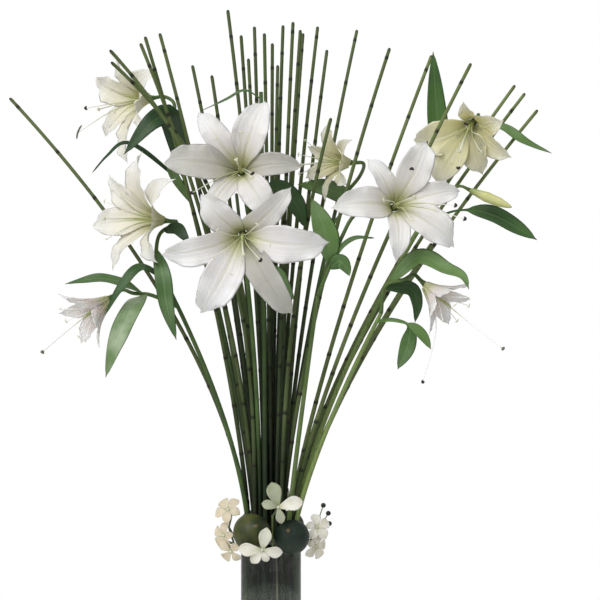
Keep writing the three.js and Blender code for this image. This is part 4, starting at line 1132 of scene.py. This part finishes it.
def make_lily_stems(slots, blooms):
    for name, spec in LILY_STEMS.items():
        _, sx, sy = next(slot for slot in slots if slot[0] == name)
        top = seen(*spec["top"])

        def place(z):
            return stem_point(sx, sy, top, spec.get("bend", BEND), z)

        shape = Shape()
        heights = np.array([FOOT, *STEM_RINGS, *np.linspace(FAN_START, top[2], 26)])
        rise = risen(heights, top[2])
        # Painted light on the stems at the right, above the mouth of the vase
        pale = PAINTED_LIGHT_STEMS.get(name, 0.0) * smooth(rise, 0, 0.04)[:, None]
        # across marks the outer stems, which get no painted shade low down
        marks = dict(along=rise[:, None], tone=pale, across=float(name in OUTER_STEMS))
        shape.add_tube(place(heights), LILY_STEM_RADIUS - STEM_THINNING * rise, 12, **marks)
        curves = []
        for bloom_name, fork, via in spec["stalks"]:
            curves.append(add_stalk(shape, blooms[bloom_name], place(fork) if fork else top, via))
        for k, (base, via, width, face, *rest) in enumerate(spec["leaves"]):
            root = curves[base[0]].at(base[1]) if isinstance(base, tuple) else place(base)
            add_leaf(shape, root, via, width, face, 1.3 * k + 1 + ord(name), *rest)
        if name == BUD_STEM:
            base = seen(*BUD_BASE)
            axis = unit(seen(*BUD_TIP) - base)
            curve = Curve([place(BUD_FROM), base - BUD_STALK_BACK * axis, base - GAP * axis])
            share = shares(14)
            radii = np.interp(share, [0, 0.9, 1], [BUD_STALK_RADIUS, BUD_STALK_RADIUS, BUD_RADII[0]])
            shape.add_tube(curve.at(share), radii, 10, along=0.7, tone=0.2)
        shape.make(f"lily_stem_{name}", "leaf", ["stem", "leaf"])


def make_bud():
    """Closed bud with six seams."""
    base, tip = seen(*BUD_BASE), seen(*BUD_TIP)
    share = shares(26)
    middle = base + np.outer(share, tip - base)
    rings = tube_rings(middle, np.interp(share, BUD_SHARES, BUD_RADII), 24)
    angle = turns(24)
    seams = 1 - BUD_SEAM_DEPTH * np.abs(np.cos(3 * angle)) ** 8
    rings = middle[:, None] + (rings - middle[:, None]) * seams[:, None]
    make_loft("lily_bud", "bud", rings, along=share[:, None], across=np.sin(angle))


def arc(x, z, radius, start, stop, count):
    """Points of a quarter-round in the profile, angles in degrees."""
    angles = np.radians(np.linspace(start, stop, count))
    return [(x + radius * math.cos(a), z + radius * math.sin(a)) for a in angles]


def make_vase():
    """Glass cylinder with a rounded rim and foot, and the water with its meniscus."""
    inside = VASE_RADIUS - VASE_WALL
    lip = VASE_HEIGHT - LIP_DROP
    profile = [(NEAR_AXIS, 0)]
    profile += arc(VASE_RADIUS - FOOT_ROUND, FOOT_ROUND, FOOT_ROUND, -90, 0, 6)
    profile += [(VASE_RADIUS, z) for z in WALL_RINGS]
    profile += arc(VASE_RADIUS - LIP_ROUND, lip, LIP_ROUND, 0, 90, 5)
    profile += arc(inside + LIP_ROUND, lip, LIP_ROUND, 90, 180, 5)
    profile += [(inside, z) for z in reversed(WALL_RINGS)]
    profile += arc(inside - FLOOR_ROUND, VASE_FLOOR + FLOOR_ROUND, FLOOR_ROUND, 0, -90, 7)
    profile += [(NEAR_AXIS, VASE_FLOOR)]
    make_loft("vase_glass", "glass", turned(profile, VASE_SIDES))
    wet = inside + WATER_OVERLAP
    low = VASE_FLOOR - WATER_OVERLAP
    profile = [(NEAR_AXIS, low)]
    profile += arc(wet - FLOOR_ROUND, low + FLOOR_ROUND, FLOOR_ROUND, -90, 0, 7)
    profile += [(wet, z) for z in WATER_RINGS]
    profile += [(wet - inwards, WATER_LEVEL + above) for inwards, above in MENISCUS]
    profile += [(NEAR_AXIS, profile[-1][1])]
    make_loft("water", "water", turned(profile, VASE_SIDES))


def make_limes():
    """Limes with a small nipple, lying against the mouth of the vase."""
    share = shares(40)
    profile = Curve([(r, 0, h) for r, h in LIME_PROFILE]).at(share)
    share, angle, lean = share[:, None], turns(56), math.radians(LIME_LEAN)
    for k, (turn, distance, height, radius, roll, olive) in enumerate(LIMES):
        roll = math.radians(roll)
        lumps = 1 + LIME_LUMPS * np.sin(math.pi * share) * np.sin(3 * angle + k)
        out = LIME_FIT * radius * np.maximum(profile[:, :1], LIME_PROFILE[0][0]) * lumps
        x, y = out * np.cos(angle), out * np.sin(angle)
        z = LIME_FIT * radius * profile[:, 2:]
        y, z = y * math.cos(lean) - z * math.sin(lean), y * math.sin(lean) + z * math.cos(lean)
        x, z = x * math.cos(roll) + z * math.sin(roll), z * math.cos(roll) - x * math.sin(roll)
        rings = np.stack([x, y, z], -1) + distance * facing(turn) + height * UP
        make_loft(f"lime_{k + 1}", "lime", rings, along=1 - share, tone=olive)


def add_ball(shape, centre, radius, **values):
    """Small berry with a pinched crown."""
    share = np.linspace(0.02, 0.98, 14)[:, None]
    angle = turns(16)
    out = radius * np.sin(math.pi * share) * (1 + 0.03 * np.cos(5 * angle))
    height = -radius * np.cos(math.pi * share) * (1 - 0.25 * smooth(share, 0.9, 1))
    shape.add(level_rings(out, angle, height) + centre, **values)


def make_collar():
    """Twisted green band round the mouth with small leaves and stalked berries."""
    shape = Shape()
    around, section = turns(240)[:, None], turns(10)
    for strand in range(COLLAR_STRANDS):
        twist = COLLAR_TWISTS * around + TAU * strand / COLLAR_STRANDS
        out = COLLAR_RADIUS + COLLAR_TUBE * (0.5 * np.cos(twist) + 0.56 * np.cos(section))
        height = COLLAR_HEIGHT + COLLAR_TUBE * (0.5 * np.sin(twist) + 0.56 * np.sin(section))
        shape.add(level_rings(out, around, height), loop=True, along=0.5, tone=0.12 * strand)
    t, v = shares(20)[:, None], np.linspace(-1, 1, 9)
    for k, (angle, length, width, rise) in enumerate(COLLAR_LEAVES):
        half = np.maximum(1.2, width * 0.5 * np.sin(math.pi * (0.2 + 0.75 * t)))
        half = half * np.clip((1.01 - t) / 0.2, 0, 1) ** 0.6
        middle = (COLLAR_RADIUS + length * t) * facing(angle)
        middle += (COLLAR_HEIGHT + rise * t - 3 * np.sin(math.pi * t)) * UP
        lift = half * (0.22 * np.abs(v) + 0.06 * np.sin(TAU * 2 * t + k) * v)
        marks = dict(look=1, along=0.9 * t, tone=0.1)
        shape.add_blade(middle[:, None], half * v, facing(angle + 90), lift, UP, 0.9 - 0.5 * v**2, v, **marks)
    for angle, distance, height in BERRIES:
        outward = facing(angle)
        centre = distance * outward + height * UP
        root = COLLAR_RADIUS * outward + COLLAR_HEIGHT * UP
        bow = (root + centre) / 2 + 4 * outward
        stalk = Curve([root, bow, centre]).at(shares(12))
        shape.add_tube(stalk, [BERRY_STALK_RADIUS] * 12, 8, along=0.6, tone=0.4)
        add_ball(shape, centre, BERRY_RADIUS, look=2, along=0.5)
    shape.make("collar_band", "leaf", ["stem", "leaf", "lime"])


def add_floret(shape, knot, centre, face, petals, blush, breadth, painted_shades):
    """Waxy floret: a tube back to the knot, spoon-shaped petals and a small crown."""
    axis = unit(np.array(face, float))
    right, up = sides_of(axis)
    share = shares(14)
    tube = Curve([knot, centre - FLORET_NECK * axis, centre - 0.2 * axis]).at(share)
    shape.add_tube(tube, np.interp(share, *FLORET_TUBE), 12, tone=1 - 0.6 * share[:, None])
    t, v = shares(16)[:, None], np.linspace(-1, 1, 11)
    for k, (direction, length) in enumerate(petals):
        angle = math.radians(direction)
        outward = math.cos(angle) * right + math.sin(angle) * up
        swell = np.sin(math.pi * np.minimum(t, 0.999) ** 1.6) ** 0.7
        half = np.maximum(length * (0.07 * (1 - t) + breadth * swell), 0.3)
        height = 1.6 * np.sin(math.pi * t) - 3 * t**2 + 0.25 * (k % 2)
        middle = centre + (1.2 + (length - 1.2) * t) * outward + height * axis
        lift = half * (0.28 * v**2 + 0.05 * np.sin(TAU * t + k) * v)
        # tone carries each petal's painted shade
        marks = dict(along=t, blush=blush, tone=painted_shades[k])
        sideways = np.cross(axis, outward)
        shape.add_blade(middle[:, None], half * v, sideways, lift, axis, 1.5 - 0.9 * v**2, v, **marks)
    add_ball(shape, centre + 1.2 * axis, CROWN_RADIUS, along=0.25, tone=0.3)


def make_florets():
    for k, spray in enumerate(SPRAYS):
        shape = Shape()
        root, knot = np.array(spray["root"], float), np.array(spray["knot"], float)
        stalk = Curve([root, (root + knot) / 2, knot + 1.2 * unit(knot - root)]).at(shares(12))
        shape.add_tube(stalk, [FLORET_STALK_RADIUS] * 12, 10, tone=1.0)
        for j, (centre, face, petals) in enumerate(spray["florets"]):
            blush = spray.get("blush", FLORET_BLUSH * j)
            breadth = spray.get("breadth", FLORET_BREADTH)
            painted_shades = spray.get("painted_shades", [0.0] * len(petals))
            add_floret(shape, knot, np.array(centre, float), face, petals, blush, breadth, painted_shades)
        shape.make(f"floret_spray_{k + 1}", "floret")


def add_stage(name, rings, faces, look):
    mesh = bpy.data.meshes.new(name)
    mesh.from_pydata(rings.reshape(-1, 3).tolist(), [], faces)
    mesh.materials.append(look)
    made = add_object(name, mesh)
    return made


def make_stage():
    """Pale floor, and a white sphere that shows behind the object and through glass, and lights nothing."""
    pale = material("floor", Base_Color=(0.92, 0.92, 0.91, 1), Roughness=0.8)
    rim = turned([(FLOOR_RADIUS, -FLOOR_DROP)], FLOOR_SIDES)
    add_stage("floor", rim, [list(range(FLOOR_SIDES))], pale)
    white = material("surround", kind="Emission", Color=(1, 1, 1, 1), Strength=1.0)
    angles = np.linspace(POLE_ANGLE, math.pi - POLE_ANGLE, SURROUND_ROWS)
    rings = turned(SURROUND * np.stack([np.sin(angles), np.cos(angles)], -1), SURROUND_SIDES)
    faces = quads(np.arange(SURROUND_ROWS * SURROUND_SIDES).reshape(SURROUND_ROWS, SURROUND_SIDES))
    surround = add_stage("surround", rings, faces, white)
    surround.visible_diffuse = False
    surround.visible_glossy = False
    surround.visible_shadow = False


def make_light():
    world = bpy.data.worlds.new("studio")
    world.use_nodes = True
    background = world.node_tree.nodes["Background"]
    background.inputs["Color"].default_value = (1, 1, 1, 1)
    background.inputs["Strength"].default_value = AMBIENT
    bpy.context.scene.world = world
    sun = bpy.data.lights.new("key", "SUN")
    sun.energy = KEY
    sun.angle = math.radians(KEY_SPREAD)
    add_object("key", sun).rotation_euler = np.radians(KEY_TURN)


def make_camera():
    """A level camera where the viewer stood."""
    camera = bpy.data.cameras.new("camera")
    camera.sensor_width = SENSOR
    camera.lens = SENSOR * -EYE[1] / PICTURE_WIDTH
    camera.clip_end = VIEW_END
    viewer = add_object("camera", camera)
    viewer.location = EYE * METRES
    viewer.rotation_euler = (math.radians(90), 0, 0)
    bpy.context.scene.camera = viewer
    bpy.context.scene.view_settings.view_transform = "Standard"


slots = stem_slots()
blooms = {name: Bloom(spec) for name, spec in BLOOMS.items()}
make_vase()
make_horsetails(slots)
make_lily_stems(slots, blooms)
make_blooms(blooms)
make_bud()
make_limes()
make_collar()
make_florets()
make_stage()
make_light()
make_camera()
